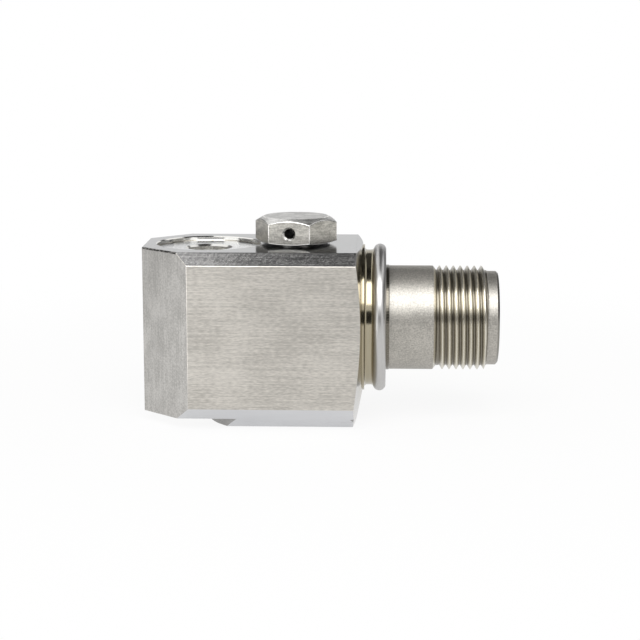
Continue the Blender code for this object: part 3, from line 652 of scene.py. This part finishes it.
lid_top = lid_high.z
lid_profile = [
    (0, lid_low.z),
    (LID_RADIUS, lid_low.z),
    (LID_RADIUS, lid_top),
    (LID_SOCKET_RADIUS + LID_SOCKET_RIM, lid_top),
    (LID_SOCKET_RADIUS, lid_top - LID_SOCKET_RIM),
    (LID_SOCKET_RADIUS, lid_top - LID_SOCKET_DEPTH),
    (0, lid_top - LID_SOCKET_DEPTH),
]
lid = lathe("chamber_lid_face", lid_profile, "Z", (CHAMBER_X, 0, 0), LID_STEPS)
lid.data.materials.append(lid_face())
lid.data.materials.append(socket_wall())
for face in lid.data.polygons:
    in_socket = from_chamber(face.center) < LID_SOCKET_RADIUS + LID_SOCKET_RIM
    face.material_index = 1 if in_socket and face.normal.z < 0.9 else 0
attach(lid, "root")
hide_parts("chamber_lid")

seam_profile = [
    (LID_RADIUS - FIT / 4, lid_top - FIT),
    (LID_BORE_RADIUS, lid_top - FIT),
    (LID_BORE_RADIUS, lid_top + 2 * LID_WELD_HEIGHT),
    (LID_RADIUS + FIT / 2, lid_top + LID_WELD_HEIGHT),
    (LID_RADIUS - FIT / 4, lid_top),
]
lid_weld = lathe("lid_weld", seam_profile, "Z", (CHAMBER_X, 0, 0), LID_STEPS, closed=True)
lid_seam = weld_seam("lid_weld_seam", (CHAMBER_X, 0, 0), "Z", (0.50, 0.48, 0.44), (0.70, 0.66, 0.58))
lid_weld.data.materials.append(lid_seam)
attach(lid_weld, "root")


# Mounting screw
# A quarter-inch stainless screw down through the pad: forged hexagon head, chamfered above and below,
# with a hole drilled from flat to flat for locking wire, and a thread rolled on its end.
SCREW_RADIUS = 3.175 * MM
SCREW_ROOT_RADIUS = 2.62 * MM
SCREW_PITCH = 0.907 * MM
SCREW_THREAD_LENGTH = 12.0 * MM
SCREW_TIP_CHAMFER = 0.6 * MM
HEAD_CORNER = 6.293 * MM
HEAD_HEIGHT = 3.9 * MM
CROWN_RADIUS = 4.9 * MM
CROWN_ANGLE = math.radians(31)
HEAD_TURN = math.radians(-8.5)
SEAT_FACE_RADIUS = 5.2 * MM
SEAT_FACE_ANGLE = math.radians(15)
WIRE_HOLE_RADIUS = 0.75 * MM
WIRE_HOLE_RIM = 0.25 * MM
WIRE_HOLE_HEIGHT = 1.75 * MM
HEAD_EDGE_ROUND = 0.09 * MM
HEAD_STEPS = 144
SHANK_STEPS = 96
SMALL_STEPS = 48
SCREW_TOP = screw_high.z
HEAD_BASE = SCREW_TOP - HEAD_HEIGHT


def forged_steel(name, dark, light, roughness):
    """Forged, tumbled and passivated: satin, with faint scuffs and specks."""
    finish = Finish(name, light, roughness)
    cloud = finish.grain((1.6 * MM, 1.6 * MM, 1.2 * MM), detail=4.0)
    scuff = finish.grain((1.6 * MM, 1.6 * MM, 0.24 * MM), detail=2.0)
    speck = finish.grain((0.24 * MM, 0.24 * MM, 0.24 * MM), detail=2.0)
    mark = cloud * 0.3 + scuff * 0.35 + speck * 0.35
    finish.tone(finish.spread(mark, 0.36, 0.64), dark, light)
    finish.set("Roughness", (roughness - 0.08) + mark * 0.16)
    finish.relief(mark, 0.008 * MM)
    return finish.material


def rolled_thread():
    """The burnished flanks of a rolled thread."""
    finish = Finish("rolled_thread", STEEL_SHADE, 0.24)
    mark = finish.grain((0.3 * MM, 0.3 * MM, 0.3 * MM), detail=4.0)
    finish.tone(mark, (0.42, 0.41, 0.39), (0.58, 0.57, 0.55))
    finish.set("Roughness", 0.18 + mark * 0.14)
    finish.relief(mark, 0.004 * MM)
    return finish.material


def hollow_painted_shade(name):
    """Painted shade: near black, on the wire hole's wall and under the head."""
    finish = Finish(name, (0.02, 0.019, 0.018), 0.6, 0.2)
    mottle = finish.grain((0.2 * MM, 0.2 * MM, 0.2 * MM), detail=3.0)
    finish.tone(mottle, (0.008, 0.008, 0.007), (0.05, 0.047, 0.042))
    finish.set("Roughness", 0.5 + mottle * 0.25)
    finish.relief(mottle, 0.01 * MM)
    return finish.material


def bright_edge():
    """Edges and the wire hole's rim, rubbed bright."""
    finish = Finish("bright_edge", (0.9, 0.89, 0.86), 0.2)
    rub = finish.grain((0.3 * MM, 0.3 * MM, 0.3 * MM), detail=3.0)
    finish.tone(rub, (0.80, 0.79, 0.75), (0.98, 0.97, 0.94))
    finish.set("Roughness", 0.12 + rub * 0.16)
    finish.relief(rub, 0.002 * MM)
    return finish.material


SCREW_FINISHES = [
    # One forged steel in copies toned by which way each face looks: painted shade on the left flat, painted
    # light on the crown, and the front a little lighter than the sides.
    forged_steel("head_side", (0.357, 0.345, 0.309), (0.714, 0.69, 0.631), 0.30),
    forged_steel("head_front", (0.367, 0.356, 0.329), (0.734, 0.713, 0.659), 0.30),
    forged_steel("head_left_painted_shade", (0.17, 0.16, 0.14), (0.45, 0.43, 0.385), 0.30),
    forged_steel("head_crown_painted_light", (0.53, 0.525, 0.51), (0.90, 0.89, 0.87), 0.40),
    hollow_painted_shade("hole_and_underside_painted_shade"),
    bright_edge(),
    rolled_thread(),
]
HEAD_SIDE, HEAD_FRONT, HEAD_LEFT_PAINTED_SHADE, HEAD_CROWN_PAINTED_LIGHT, DARK, BRIGHT, ROLLED = range(len(SCREW_FINISHES))

# One pitch of a 60 degree thread, from its crest: place along the pitch, and height from root to crest
THREAD_FORM = [
    (-0.075, 0.96), (-0.05, 1.0), (0.05, 1.0), (0.075, 0.96),
    (0.40, 0.05), (0.44, 0.0), (0.56, 0.0), (0.60, 0.05),
]


def add_thread(bm, start, end, crest_at, pitch, crest, root, fades, steps):
    """A right-hand thread about Z between two plain rings of root radius, with one crest at crest_at."""
    turns = math.ceil((end - start) / pitch) + 3
    first = crest_at - pitch * math.ceil((crest_at - start) / pitch + 1)
    grid = []
    for column in range(steps + 1):
        share = column / steps
        line = []
        for turn in range(turns):
            for phase, level in THREAD_FORM:
                run = min(max(first + pitch * (turn + phase + share), start), end)
                fade = min((run - start) / fades[0], (end - run) / fades[1], 1.0)
                radius = root + (crest - root) * level * fade
                angle = math.tau * share
                line.append(bm.verts.new((radius * math.cos(angle), radius * math.sin(angle), run)))
        grid.append(line)
    for left, right in zip(grid, grid[1:]):
        for row in range(len(left) - 1):
            bm.faces.new((left[row], right[row], right[row + 1], left[row + 1]))


def add_rings(bm, profile, steps):
    """Plain turned surface through (radius, run) points, about Z."""
    verts = [bm.verts.new((radius, 0, run)) for radius, run in profile]
    edges = [bm.edges.new(pair) for pair in zip(verts, verts[1:])]
    bmesh.ops.spin(bm, geom=verts + edges, cent=(0, 0, 0), axis=(0, 0, 1), angle=math.tau, steps=steps)


def tidy_rings(bm):
    """Merges what meets, and drops the flat faces that a thread's ends leave."""
    bmesh.ops.remove_doubles(bm, verts=bm.verts, dist=MERGE)
    bmesh.ops.dissolve_degenerate(bm, edges=bm.edges, dist=MERGE)


def build_head():
    bm = bmesh.new()
    ring = []
    for index in range(6):
        angle = math.radians(60 * index) + HEAD_TURN
        ring.append(bm.verts.new((HEAD_CORNER * math.cos(angle), HEAD_CORNER * math.sin(angle), 0)))
    raised = bmesh.ops.extrude_face_region(bm, geom=[bm.faces.new(ring)])
    tops = [item for item in raised["geom"] if isinstance(item, bmesh.types.BMVert)]
    bmesh.ops.translate(bm, verts=tops, vec=(0, 0, HEAD_HEIGHT + MM))
    bmesh.ops.translate(bm, verts=bm.verts, vec=(SCREW_X, 0, HEAD_BASE - MM))
    head = shown("screw_head", bm)
    outside = 1.2 * HEAD_CORNER
    crowning = [
        (0, HEAD_BASE),
        (SEAT_FACE_RADIUS, HEAD_BASE),
        (outside, HEAD_BASE + (outside - SEAT_FACE_RADIUS) * math.tan(SEAT_FACE_ANGLE)),
        (outside, SCREW_TOP - (outside - CROWN_RADIUS) * math.tan(CROWN_ANGLE)),
        (CROWN_RADIUS, SCREW_TOP),
        (0, SCREW_TOP),
    ]
    carve(head, lathe("crowning", crowning, "Z", (SCREW_X, 0, 0), HEAD_STEPS), "INTERSECT")
    flat = HEAD_CORNER * math.cos(math.radians(30))
    mouth = WIRE_HOLE_RADIUS + WIRE_HOLE_RIM
    drill = [
        (0, -2 * flat),
        (mouth, -2 * flat),
        (mouth, -flat),
        (WIRE_HOLE_RADIUS, -flat + WIRE_HOLE_RIM),
        (WIRE_HOLE_RADIUS, flat - WIRE_HOLE_RIM),
        (mouth, flat),
        (mouth, 2 * flat),
        (0, 2 * flat),
    ]
    tool = lathe("drill", drill, "Z", (0, 0, 0), SMALL_STEPS)
    across = Matrix.Rotation(HEAD_TURN, 4, "Z") @ Matrix.Rotation(math.radians(90), 4, "X")
    tool.matrix_world = Matrix.Translation((SCREW_X, 0, HEAD_BASE + WIRE_HOLE_HEIGHT)) @ across
    carve(head, tool)
    head.data.materials.clear()
    for finish in SCREW_FINISHES:
        head.data.materials.append(finish)
    rounded(head, lambda edge: from_wire_hole(middle_of(edge)) > mouth + FIT, HEAD_EDGE_ROUND, BRIGHT)
    for face in head.data.polygons:
        if face.material_index != BRIGHT:
            face.material_index = head_finish(face)
    keep_flat(head)
    return head


def from_wire_hole(point):
    """Distance from the wire hole's axis."""
    at = Matrix.Rotation(-HEAD_TURN, 4, "Z") @ (point - Vector((SCREW_X, 0, HEAD_BASE + WIRE_HOLE_HEIGHT)))
    return math.hypot(at.x, at.z)


def head_finish(face):
    """Which finish a face of the head has: painted shade in the hole and below, and a tone for each side,
    with painted shade on the left flat and painted light on the crown.
    """
    way = Matrix.Rotation(-HEAD_TURN, 3, "Z") @ face.normal
    drilled = abs(way.y) < 0.9
    distance = from_wire_hole(face.center)
    if way.z < -0.99 or (drilled and distance < WIRE_HOLE_RADIUS + MERGE):
        return DARK
    if drilled and distance < WIRE_HOLE_RADIUS + WIRE_HOLE_RIM:
        return BRIGHT
    if way.z > 0.4:
        return HEAD_CROWN_PAINTED_LIGHT
    if way.y < -0.9:
        return HEAD_FRONT
    if way.x < -0.5 and way.y < 0:
        return HEAD_LEFT_PAINTED_SHADE
    return HEAD_SIDE


def build_shank():
    """Plain shank and thread, ending in a chamfered tip."""
    tip = screw_low.z
    thread_start = tip + SCREW_TIP_CHAMFER
    thread_end = tip + SCREW_THREAD_LENGTH
    bm = bmesh.new()
    point = [(0, tip), (SCREW_ROOT_RADIUS - FIT / 2, tip), (SCREW_ROOT_RADIUS, thread_start)]
    add_rings(bm, point, SHANK_STEPS)
    add_thread(bm, thread_start, thread_end, thread_start, SCREW_PITCH, SCREW_RADIUS, SCREW_ROOT_RADIUS,
               (SCREW_PITCH / 2, SCREW_PITCH), SHANK_STEPS)
    plain = [
        (SCREW_ROOT_RADIUS, thread_end),
        (SCREW_RADIUS, thread_end + FIT),
        (SCREW_RADIUS, HEAD_BASE + FIT),
        (0, HEAD_BASE + FIT),
    ]
    add_rings(bm, plain, SHANK_STEPS)
    tidy_rings(bm)
    bmesh.ops.translate(bm, verts=bm.verts, vec=(SCREW_X, 0, 0))
    shank = shown("screw_shank", bm)
    shank.data.materials.append(SCREW_FINISHES[ROLLED])
    return shank


for screw_piece in (build_head(), build_shank()):
    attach(screw_piece, "root")
    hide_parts("mounting_screw")


# Connector shell
# One turned stainless tube, its spigot pressed into the block's bore and welded at the shoulder. The
# neck and nose are bead-blasted, and a 5/8-24 thread for the cable plug is cut between them.
SHOULDER_X = BLOCK_END + FIT
SPIGOT_RADIUS = 6.7 * MM
THROAT_RADIUS = 5.0 * MM
NECK_RADIUS = 7.9 * MM
NECK_LENGTH = 6.85 * MM
PLUG_PITCH = 25.4 / 24 * MM
PLUG_THREAD_ROOT = 7.24 * MM
PLUG_THREAD_START = 7.3 * MM
PLUG_THREAD_END = 14.85 * MM
PLUG_THREAD_CREST = 7.80 * MM
PLUG_THREAD_FADE_IN = 0.2 * MM
PLUG_THREAD_FADE_OUT = 0.3 * MM
NOSE_RADIUS = 7.125 * MM
NOSE_CHAMFER = 0.3 * MM
SOCKET_RADIUS = 6.175 * MM
SOCKET_DEPTH = 10.2 * MM
SEAL_THICKNESS = 3.0 * MM
KEYWAY_WIDTH = 1.6 * MM
KEYWAY_DEPTH = 0.5 * MM
KEYWAY_LENGTH = 8.0 * MM
SHELL_STEPS = 192
RIM_X = shell_high.x


def blasted_steel():
    """Bead-blasted: a fine even dimple, with faint clouds."""
    finish = Finish("blasted_steel", STEEL, 0.40)
    dimple = finish.grain((0.2 * MM, 0.2 * MM, 0.2 * MM), detail=2.0)
    cloud = finish.grain((3 * MM, 3 * MM, 3 * MM), detail=3.0)
    mark = finish.spread(cloud * 0.2 + dimple * 0.8, 0.30, 0.70)
    finish.tone(mark, (0.35, 0.336, 0.308), (0.57, 0.547, 0.502))
    finish.set("Roughness", 0.40 + dimple * 0.12)
    finish.relief(dimple, 0.005 * MM)
    return finish.material


def cut_thread():
    """Single-point cut: bright crests, and flanks painted darker towards the roots as painted shade."""
    finish = Finish("cut_thread", STEEL, 0.24)
    ring = finish.ring_grain((RIM_X, 0, AXIS_HEIGHT), 0.05 * MM, 1.0)
    out = finish.ring_place((RIM_X, 0, AXIS_HEIGHT))[1]
    # Painted shade: the colour darkens with depth towards the thread's roots.
    height = finish.spread(out, PLUG_THREAD_ROOT, NECK_RADIUS - 0.06 * MM)
    bright = finish.blend(ring, (0.60, 0.572, 0.503), (0.86, 0.823, 0.724))
    finish.tone(height, (0.24, 0.22, 0.18), bright)
    finish.set("Roughness", 0.22 + ring * 0.10)
    finish.relief(ring, 0.003 * MM)
    return finish.material


def nose_end_painted_shade():
    """The tube's end and chamfer, faced, and painted dark: painted shade along the nose's end."""
    finish = Finish("nose_end_painted_shade", STEEL_SHADE, 0.3)
    ring = finish.ring_grain((RIM_X, 0, AXIS_HEIGHT), 0.06 * MM, 1.5)
    finish.tone(ring, (0.20, 0.19, 0.17), (0.34, 0.33, 0.30))
    finish.set("Roughness", 0.24 + ring * 0.14)
    finish.relief(ring, 0.002 * MM)
    return finish.material


def build_shell():
    rim = RIM_X - SHOULDER_X
    ledge = rim - SOCKET_DEPTH - SEAL_THICKNESS - FIT
    bm = bmesh.new()
    bottom = [
        (SOCKET_RADIUS, ledge),
        (THROAT_RADIUS, ledge),
        (THROAT_RADIUS, shell_low.x - SHOULDER_X),
        (SPIGOT_RADIUS, shell_low.x - SHOULDER_X),
        (SPIGOT_RADIUS, 0),
        (NECK_RADIUS - RIM_BREAK, 0),
        (NECK_RADIUS, RIM_BREAK),
        (NECK_RADIUS, NECK_LENGTH - RIM_BREAK / 2),
        (NECK_RADIUS - RIM_BREAK / 2, NECK_LENGTH),
        (PLUG_THREAD_ROOT, PLUG_THREAD_START),
    ]
    add_rings(bm, bottom, SHELL_STEPS)
    add_thread(bm, PLUG_THREAD_START, PLUG_THREAD_END, PLUG_THREAD_CREST - PLUG_PITCH / 2, PLUG_PITCH,
               NECK_RADIUS, PLUG_THREAD_ROOT, (PLUG_THREAD_FADE_IN, PLUG_THREAD_FADE_OUT), SHELL_STEPS)
    top = [
        (PLUG_THREAD_ROOT, PLUG_THREAD_END),
        (NOSE_RADIUS, PLUG_THREAD_END + FIT / 2),
        (NOSE_RADIUS, rim - NOSE_CHAMFER),
        (NOSE_RADIUS - NOSE_CHAMFER, rim),
        (SOCKET_RADIUS + RIM_BREAK, rim),
        (SOCKET_RADIUS, rim - RIM_BREAK),
        (SOCKET_RADIUS, ledge),
    ]
    add_rings(bm, top, SHELL_STEPS)
    tidy_rings(bm)
    bmesh.ops.transform(bm, matrix=Matrix.Rotation(math.radians(90), 4, "Y"), verts=bm.verts)
    bmesh.ops.translate(bm, verts=bm.verts, vec=(SHOULDER_X, 0, AXIS_HEIGHT))
    shell = shown("connector_tube", bm)
    keyway = bmesh.new()
    bmesh.ops.create_cube(keyway, size=1.0)
    keyway_height = SOCKET_RADIUS + KEYWAY_DEPTH
    bmesh.ops.scale(keyway, vec=(2 * KEYWAY_LENGTH, KEYWAY_WIDTH, keyway_height), verts=keyway.verts)
    bmesh.ops.translate(keyway, vec=(RIM_X, 0, AXIS_HEIGHT + keyway_height / 2), verts=keyway.verts)
    carve(shell, shown("keyway", keyway))
    shell.data.materials.clear()
    shell.data.materials.append(blasted_steel())
    shell.data.materials.append(cut_thread())
    shell.data.materials.append(nose_end_painted_shade())
    thread = (SHOULDER_X + NECK_LENGTH, SHOULDER_X + PLUG_THREAD_END)
    for face in shell.data.polygons:
        outer = from_axis(face.center) > SOCKET_RADIUS + KEYWAY_DEPTH
        threaded = thread[0] < face.center.x < thread[1] and outer
        face.material_index = 1 if threaded else 2 if face.center.x > RIM_X - NOSE_CHAMFER and outer else 0
    shell.data.shade_smooth()
    shell.data.set_sharp_from_angle(angle=SHARP)
    return shell


shell = build_shell()
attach(shell, "root")
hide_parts("connector_shell")

NECK_WELD_RADIUS = 8.0 * MM
weld_profile = [
    (NECK_RADIUS - FIT, -FIT),
    (NECK_WELD_RADIUS, -FIT),
    (NECK_WELD_RADIUS, 0),
    (NECK_RADIUS + FIT / 3, FIT / 3),
    (NECK_RADIUS, FIT * 2 / 3),
    (NECK_RADIUS - FIT, FIT * 2 / 3),
]
neck_weld = lathe("neck_weld", weld_profile, "X", (SHOULDER_X, 0, AXIS_HEIGHT), closed=True)
neck_centre = (SHOULDER_X, 0, AXIS_HEIGHT)
# Its tones are painted dark: painted shade where the seam lies in the bead's shadow.
neck_seam_painted_shade = weld_seam("neck_weld_painted_shade", neck_centre, "X", (0.12, 0.11, 0.095), (0.26, 0.24, 0.20))
neck_weld.data.materials.append(neck_seam_painted_shade)
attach(neck_weld, "root")


# Glass seal and pins
# Three gold-plated pins sealed in one disc of dark sealing glass at the bottom of the socket. The
# glass wets the steel and the pins, so it climbs a little around each.
PIN_RADIUS = 0.785 * MM
PIN_TIP_ROUND = 0.4 * MM
GLASS_CLIMB = 0.25 * MM
GLASS_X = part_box("seal_insert")[1].x
GLASS_BACK_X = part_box("seal_insert")[0].x


def sealing_glass():
    finish = Finish("sealing_glass", (0.03, 0.045, 0.04), 0.12, 0.0)
    swirl = finish.grain((1.5 * MM, 1.5 * MM, 1.5 * MM), detail=3.0)
    bubble = finish.grain((0.12 * MM, 0.12 * MM, 0.12 * MM), detail=1.0)
    finish.tone(swirl, (0.02, 0.035, 0.03), (0.06, 0.085, 0.075))
    finish.set("Roughness", 0.08 + bubble * 0.12)
    finish.relief(bubble, 0.004 * MM)
    return finish.material


def gold_plate():
    finish = Finish("gold_plate", (0.86, 0.62, 0.26), 0.2)
    ring = finish.grain((0.08 * MM, 0.4 * MM, 0.4 * MM), detail=3.0)
    wear = finish.grain((0.9 * MM, 0.9 * MM, 0.9 * MM), detail=4.0)
    finish.tone(wear, (0.78, 0.55, 0.22), (0.92, 0.70, 0.34))
    finish.set("Roughness", 0.14 + ring * 0.12)
    finish.relief(ring, 0.001 * MM)
    return finish.material


glass_profile = [
    (0, GLASS_BACK_X),
    (SOCKET_RADIUS, GLASS_BACK_X),
    (SOCKET_RADIUS, GLASS_X),
    (SOCKET_RADIUS - GLASS_CLIMB / 3, GLASS_X - GLASS_CLIMB * 2 / 3),
    (SOCKET_RADIUS - GLASS_CLIMB, GLASS_X - GLASS_CLIMB),
    (0, GLASS_X - GLASS_CLIMB),
]
glass = lathe("seal_glass", glass_profile, "X", (0, 0, AXIS_HEIGHT), BORE_STEPS)
glass.data.materials.append(sealing_glass())
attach(glass, "root")
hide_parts("seal_insert")

gold = gold_plate()
for index, letter in enumerate("abc"):
    node = "contact_pin_" + letter
    pin_low, pin_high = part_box(node)
    centre = (0, (pin_low.y + pin_high.y) / 2, (pin_low.z + pin_high.z) / 2)
    tip = arc((PIN_RADIUS - PIN_TIP_ROUND, pin_high.x - PIN_TIP_ROUND), PIN_TIP_ROUND, 0, 90, 6)
    profile = [(0, pin_low.x), (PIN_RADIUS, pin_low.x)] + tip + [(0, pin_high.x)]
    pin = lathe("pin_" + letter, profile, "X", centre, SMALL_STEPS)
    pin.data.materials.append(gold)
    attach(pin, "root")
    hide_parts(node)
    climb = [
        (PIN_RADIUS, GLASS_X - 2 * GLASS_CLIMB),
        (PIN_RADIUS + 2 * GLASS_CLIMB, GLASS_X - 2 * GLASS_CLIMB),
        (PIN_RADIUS + GLASS_CLIMB, GLASS_X - GLASS_CLIMB),
        (PIN_RADIUS + GLASS_CLIMB / 3, GLASS_X - GLASS_CLIMB / 2),
        (PIN_RADIUS, GLASS_X),
    ]
    meniscus = lathe("glass_climb_" + letter, climb, "X", centre, SMALL_STEPS, closed=True)
    meniscus.data.materials.append(glass.data.materials[0])
    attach(meniscus, "root")


# Sealed parts
# What the block closes in: the shear element on its isolating disc under a drawn can, the amplifier
# board above it, and the terminal board and temperature sensor behind the pins. They keep their solids.


def solder_mask():
    """Green lacquer over glass cloth, whose weave just shows."""
    finish = Finish("solder_mask", (0.03, 0.16, 0.07), 0.35, 0.0)
    warp = finish.grain((0.3 * MM, 3 * MM, 0.3 * MM), detail=1.0)
    weft = finish.grain((3 * MM, 0.3 * MM, 0.3 * MM), detail=1.0)
    weave = warp * 0.5 + weft * 0.5
    finish.tone(weave, (0.02, 0.12, 0.05), (0.05, 0.22, 0.10))
    finish.set("Roughness", 0.28 + weave * 0.2)
    finish.relief(weave, 0.01 * MM)
    return finish.material


def cast_surface(name, dark, light, roughness, metallic, spot, depth):
    """Moulded, fired or drawn: two close tones in small spots, whose size and depth are in mm."""
    finish = Finish(name, light, roughness, metallic)
    spots = finish.grain((spot * MM, spot * MM, spot * MM), detail=3.0)
    finish.tone(spots, dark, light)
    finish.set("Roughness", (roughness - 0.06) + spots * 0.12)
    finish.relief(spots, depth * MM)
    return finish.material


SEALED_FINISHES = [
    (solder_mask(), ["terminal_board", "amplifier_board"]),
    (
        cast_surface("moulded_epoxy", (0.012, 0.012, 0.013), (0.03, 0.03, 0.032), 0.42, 0.0, 0.2, 0.01),
        ["temperature_sensor", "board_spacer", "amplifier_chip", "bias_resistor"],
    ),
    (
        cast_surface("drawn_brass", (0.62, 0.45, 0.20), (0.80, 0.61, 0.30), 0.28, 1.0, 0.8, 0.002),
        [
            "shield_can", "contact_shim_left", "contact_shim_right", "crystal_lead_left",
            "crystal_lead_right", "temperature_lead_front", "temperature_lead_back",
        ],
    ),
    (
        cast_surface("fired_alumina", (0.80, 0.79, 0.74), (0.90, 0.89, 0.85), 0.45, 0.0, 0.1, 0.002),
        ["isolation_disc"],
    ),
    (
        cast_surface("turned_base", (0.46, 0.45, 0.43), (0.62, 0.61, 0.59), 0.28, 1.0, 0.4, 0.002),
        ["element_base", "clamp_bolt", "clamp_nut"],
    ),
    (
        cast_surface("fired_piezo", (0.46, 0.41, 0.30), (0.60, 0.55, 0.43), 0.55, 0.0, 0.12, 0.004),
        ["crystal_left", "crystal_right"],
    ),
    (
        cast_surface("sintered_tungsten", (0.26, 0.26, 0.28), (0.38, 0.38, 0.40), 0.42, 1.0, 0.15, 0.006),
        ["seismic_mass_left", "seismic_mass_right"],
    ),
    (
        cast_surface("pressed_capacitor", (0.55, 0.36, 0.12), (0.68, 0.48, 0.20), 0.45, 0.0, 0.3, 0.006),
        ["filter_capacitor"],
    ),
    (
        cast_surface("red_insulation", (0.42, 0.03, 0.025), (0.58, 0.05, 0.04), 0.42, 0.0, 0.5, 0.006),
        ["signal_lead"],
    ),
    (
        cast_surface("black_insulation", (0.015, 0.015, 0.016), (0.04, 0.04, 0.042), 0.42, 0.0, 0.5, 0.006),
        ["return_lead"],
    ),
]
for finish, sealed_nodes in SEALED_FINISHES:
    for node in sealed_nodes:
        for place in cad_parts[node].material_slots:
            place.material = finish


# Stage
# A white sweep, one large soft lamp above and in front, and plain cards that only reflections see:
# dark ones over and around the sensor, a pale one behind it, and a bright one by its left-hand corner.
FLOOR_SIZE = 6.0
FLOOR_COLOUR = (0.86, 0.855, 0.85)
WORLD_LIGHT = 0.55


def stage_plane(name, centre, toward, width, height, material):
    """A flat card that faces a point."""
    bm = bmesh.new()
    bmesh.ops.create_grid(bm, x_segments=1, y_segments=1, size=0.5)
    bmesh.ops.scale(bm, vec=(width, height, 1), verts=bm.verts)
    mesh = bpy.data.meshes.new(name)
    bm.to_mesh(mesh)
    bm.free()
    made = bpy.data.objects.new(name, mesh)
    bpy.context.scene.collection.objects.link(made)
    way = Vector(toward) - Vector(centre)
    made.matrix_world = Matrix.Translation(centre) @ way.to_track_quat("Z", "Y").to_matrix().to_4x4()
    made.data.materials.append(material)
    return made


def white_sweep():
    """White to the camera, with the object's own shadow kept near it."""
    finish = Finish("white_sweep", FLOOR_COLOUR, 0.9, 0.0)
    x, y = finish.parts(finish.place())[:2]
    far = finish.spread((x * x + y * y) ** 0.5, 0.04, 0.14)
    seen = finish.node("ShaderNodeLightPath", {}, {}, output="Is Camera Ray")
    mirrored = finish.node("ShaderNodeLightPath", {}, {}, output="Is Glossy Ray")
    diffuse = finish.node("ShaderNodeBsdfDiffuse", {}, {"Color": FLOOR_COLOUR})
    glow = finish.node("ShaderNodeEmission", {}, {"Color": (1, 1, 1)})
    behind = finish.spread(y, 0.0, 0.05)
    share = seen * (0.9 + far * 0.1) + mirrored * (0.75 - behind * 0.45)
    mixed = finish.node("ShaderNodeMixShader", {}, {0: share, 1: diffuse, 2: glow})
    finish.put(finish.tree.nodes["Material Output"].inputs["Surface"], mixed)
    return finish.material


stage_plane("floor", (0, 0, 0), (0, 0, 1), FLOOR_SIZE, FLOOR_SIZE, white_sweep())


def mirrored_card(name, centre, toward, width, height, brightness):
    """A plain card that only reflections see."""
    finish = Finish(name, (0, 0, 0), 1.0, 0.0)
    finish.set("Emission Color", (brightness, brightness, brightness))
    finish.set("Emission Strength", 1.0)
    finish.set("Specular IOR Level", 0.0)
    made = stage_plane(name, centre, toward, width, height, finish.material)
    made.visible_camera = False
    made.visible_diffuse = False
    made.visible_shadow = False
    made.visible_transmission = False


def middle_and_half(angles):
    """The middle of a range of angles and half its width, from degrees."""
    return math.radians(sum(angles) / 2), math.radians((angles[1] - angles[0]) / 2)


def card(name, elevations, distance, sides, brightness):
    """A card over a range of elevations, in degrees from the front horizon, from side to side in metres."""
    middle, half = middle_and_half(elevations)
    left, right = sides
    aim = Vector(((left + right) / 2, 0, AXIS_HEIGHT))
    centre = Vector((0, -math.cos(middle), math.sin(middle))) * distance + aim
    mirrored_card(name, centre, aim, right - left, 2 * distance * math.tan(half), brightness)


card("ceiling_card", (73, 100), 0.5, (-0.06, 0.26), 0.02)
card("rear_ceiling_card", (100, 150), 0.5, (-0.07, 0.26), 0.07)
card("camera_card", (-4, 20), 0.5, (-0.3, 0.3), 0.03)
card("back_card", (150, 185), 0.6, (-0.2, 0.22), 0.80)


def board(name, azimuths, distance, height, brightness):
    """A card that stands on the floor between two compass angles, in degrees from the front."""
    middle, half = middle_and_half(azimuths)
    centre = Vector((math.sin(middle), -math.cos(middle), 0)) * distance + Vector((0, 0, height / 2))
    mirrored_card(name, centre, (0, 0, height / 2), 2 * distance * math.tan(half), height, brightness)


board("edge_card", (-74, -30), 0.07, 0.03, 2.0)
board("left_flag", (-112, -66), 0.6, 0.5, 0.04)
board("right_flag", (66, 108), 0.6, 0.5, 0.06)
board("back_left_flag", (-165, -112), 0.6, 0.4, 0.2)
board("back_right_flag", (108, 160), 0.6, 0.4, 0.2)


def soft_lamp(name, centre, size, power):
    data = bpy.data.lights.new(name, "AREA")
    data.shape = "RECTANGLE"
    data.size = size[0]
    data.size_y = size[1]
    data.energy = power
    made = bpy.data.objects.new(name, data)
    bpy.context.scene.collection.objects.link(made)
    way = Vector((0, 0, AXIS_HEIGHT)) - Vector(centre)
    made.matrix_world = Matrix.Translation(centre) @ way.to_track_quat("-Z", "Y").to_matrix().to_4x4()


soft_lamp("front_softbox", (0.0, -0.30, 0.38), (0.5, 0.34), 1.7)

world = bpy.data.worlds.new("studio")
bpy.context.scene.world = world
world.use_nodes = True
world.node_tree.nodes.clear()
sky = Shading(world.node_tree)
looked_at = ("Is Camera Ray", "Is Glossy Ray", "Is Transmission Ray")
direct, glossy, through = [sky.node("ShaderNodeLightPath", {}, {}, output=ray) for ray in looked_at]
adding = {"operation": "ADD", "use_clamp": True}
seen = sky.node("ShaderNodeMath", adding, {0: direct + glossy, 1: through})
dim = sky.node("ShaderNodeBackground", {}, {"Color": (1, 1, 1), "Strength": WORLD_LIGHT})
white = sky.node("ShaderNodeBackground", {}, {"Color": (1, 1, 1), "Strength": 1.0})
mixed = sky.node("ShaderNodeMixShader", {}, {0: seen, 1: dim, 2: white})
sky.put(world.node_tree.nodes.new("ShaderNodeOutputWorld").inputs["Surface"], mixed)

# Camera
# Fitted to the photograph's edges and corners: metres, degrees, and the lens in millimetres.
CAMERA_PLACE = Vector((9.119, -260.884, 61.673)) * MM
CAMERA_TILT = 10.23
CAMERA_TURN = 2.06
CAMERA_LENS = 97.58

camera_data = bpy.data.cameras.new("camera")
camera_data.lens = CAMERA_LENS
camera_data.sensor_width = 36.0
camera_data.clip_start = 0.01
camera_data.clip_end = 20
camera = bpy.data.objects.new("camera", camera_data)
bpy.context.scene.collection.objects.link(camera)
camera.location = CAMERA_PLACE
camera.rotation_euler = (math.radians(90 - CAMERA_TILT), 0, math.radians(CAMERA_TURN))
bpy.context.scene.camera = camera
bpy.context.scene.view_settings.view_transform = "Standard"
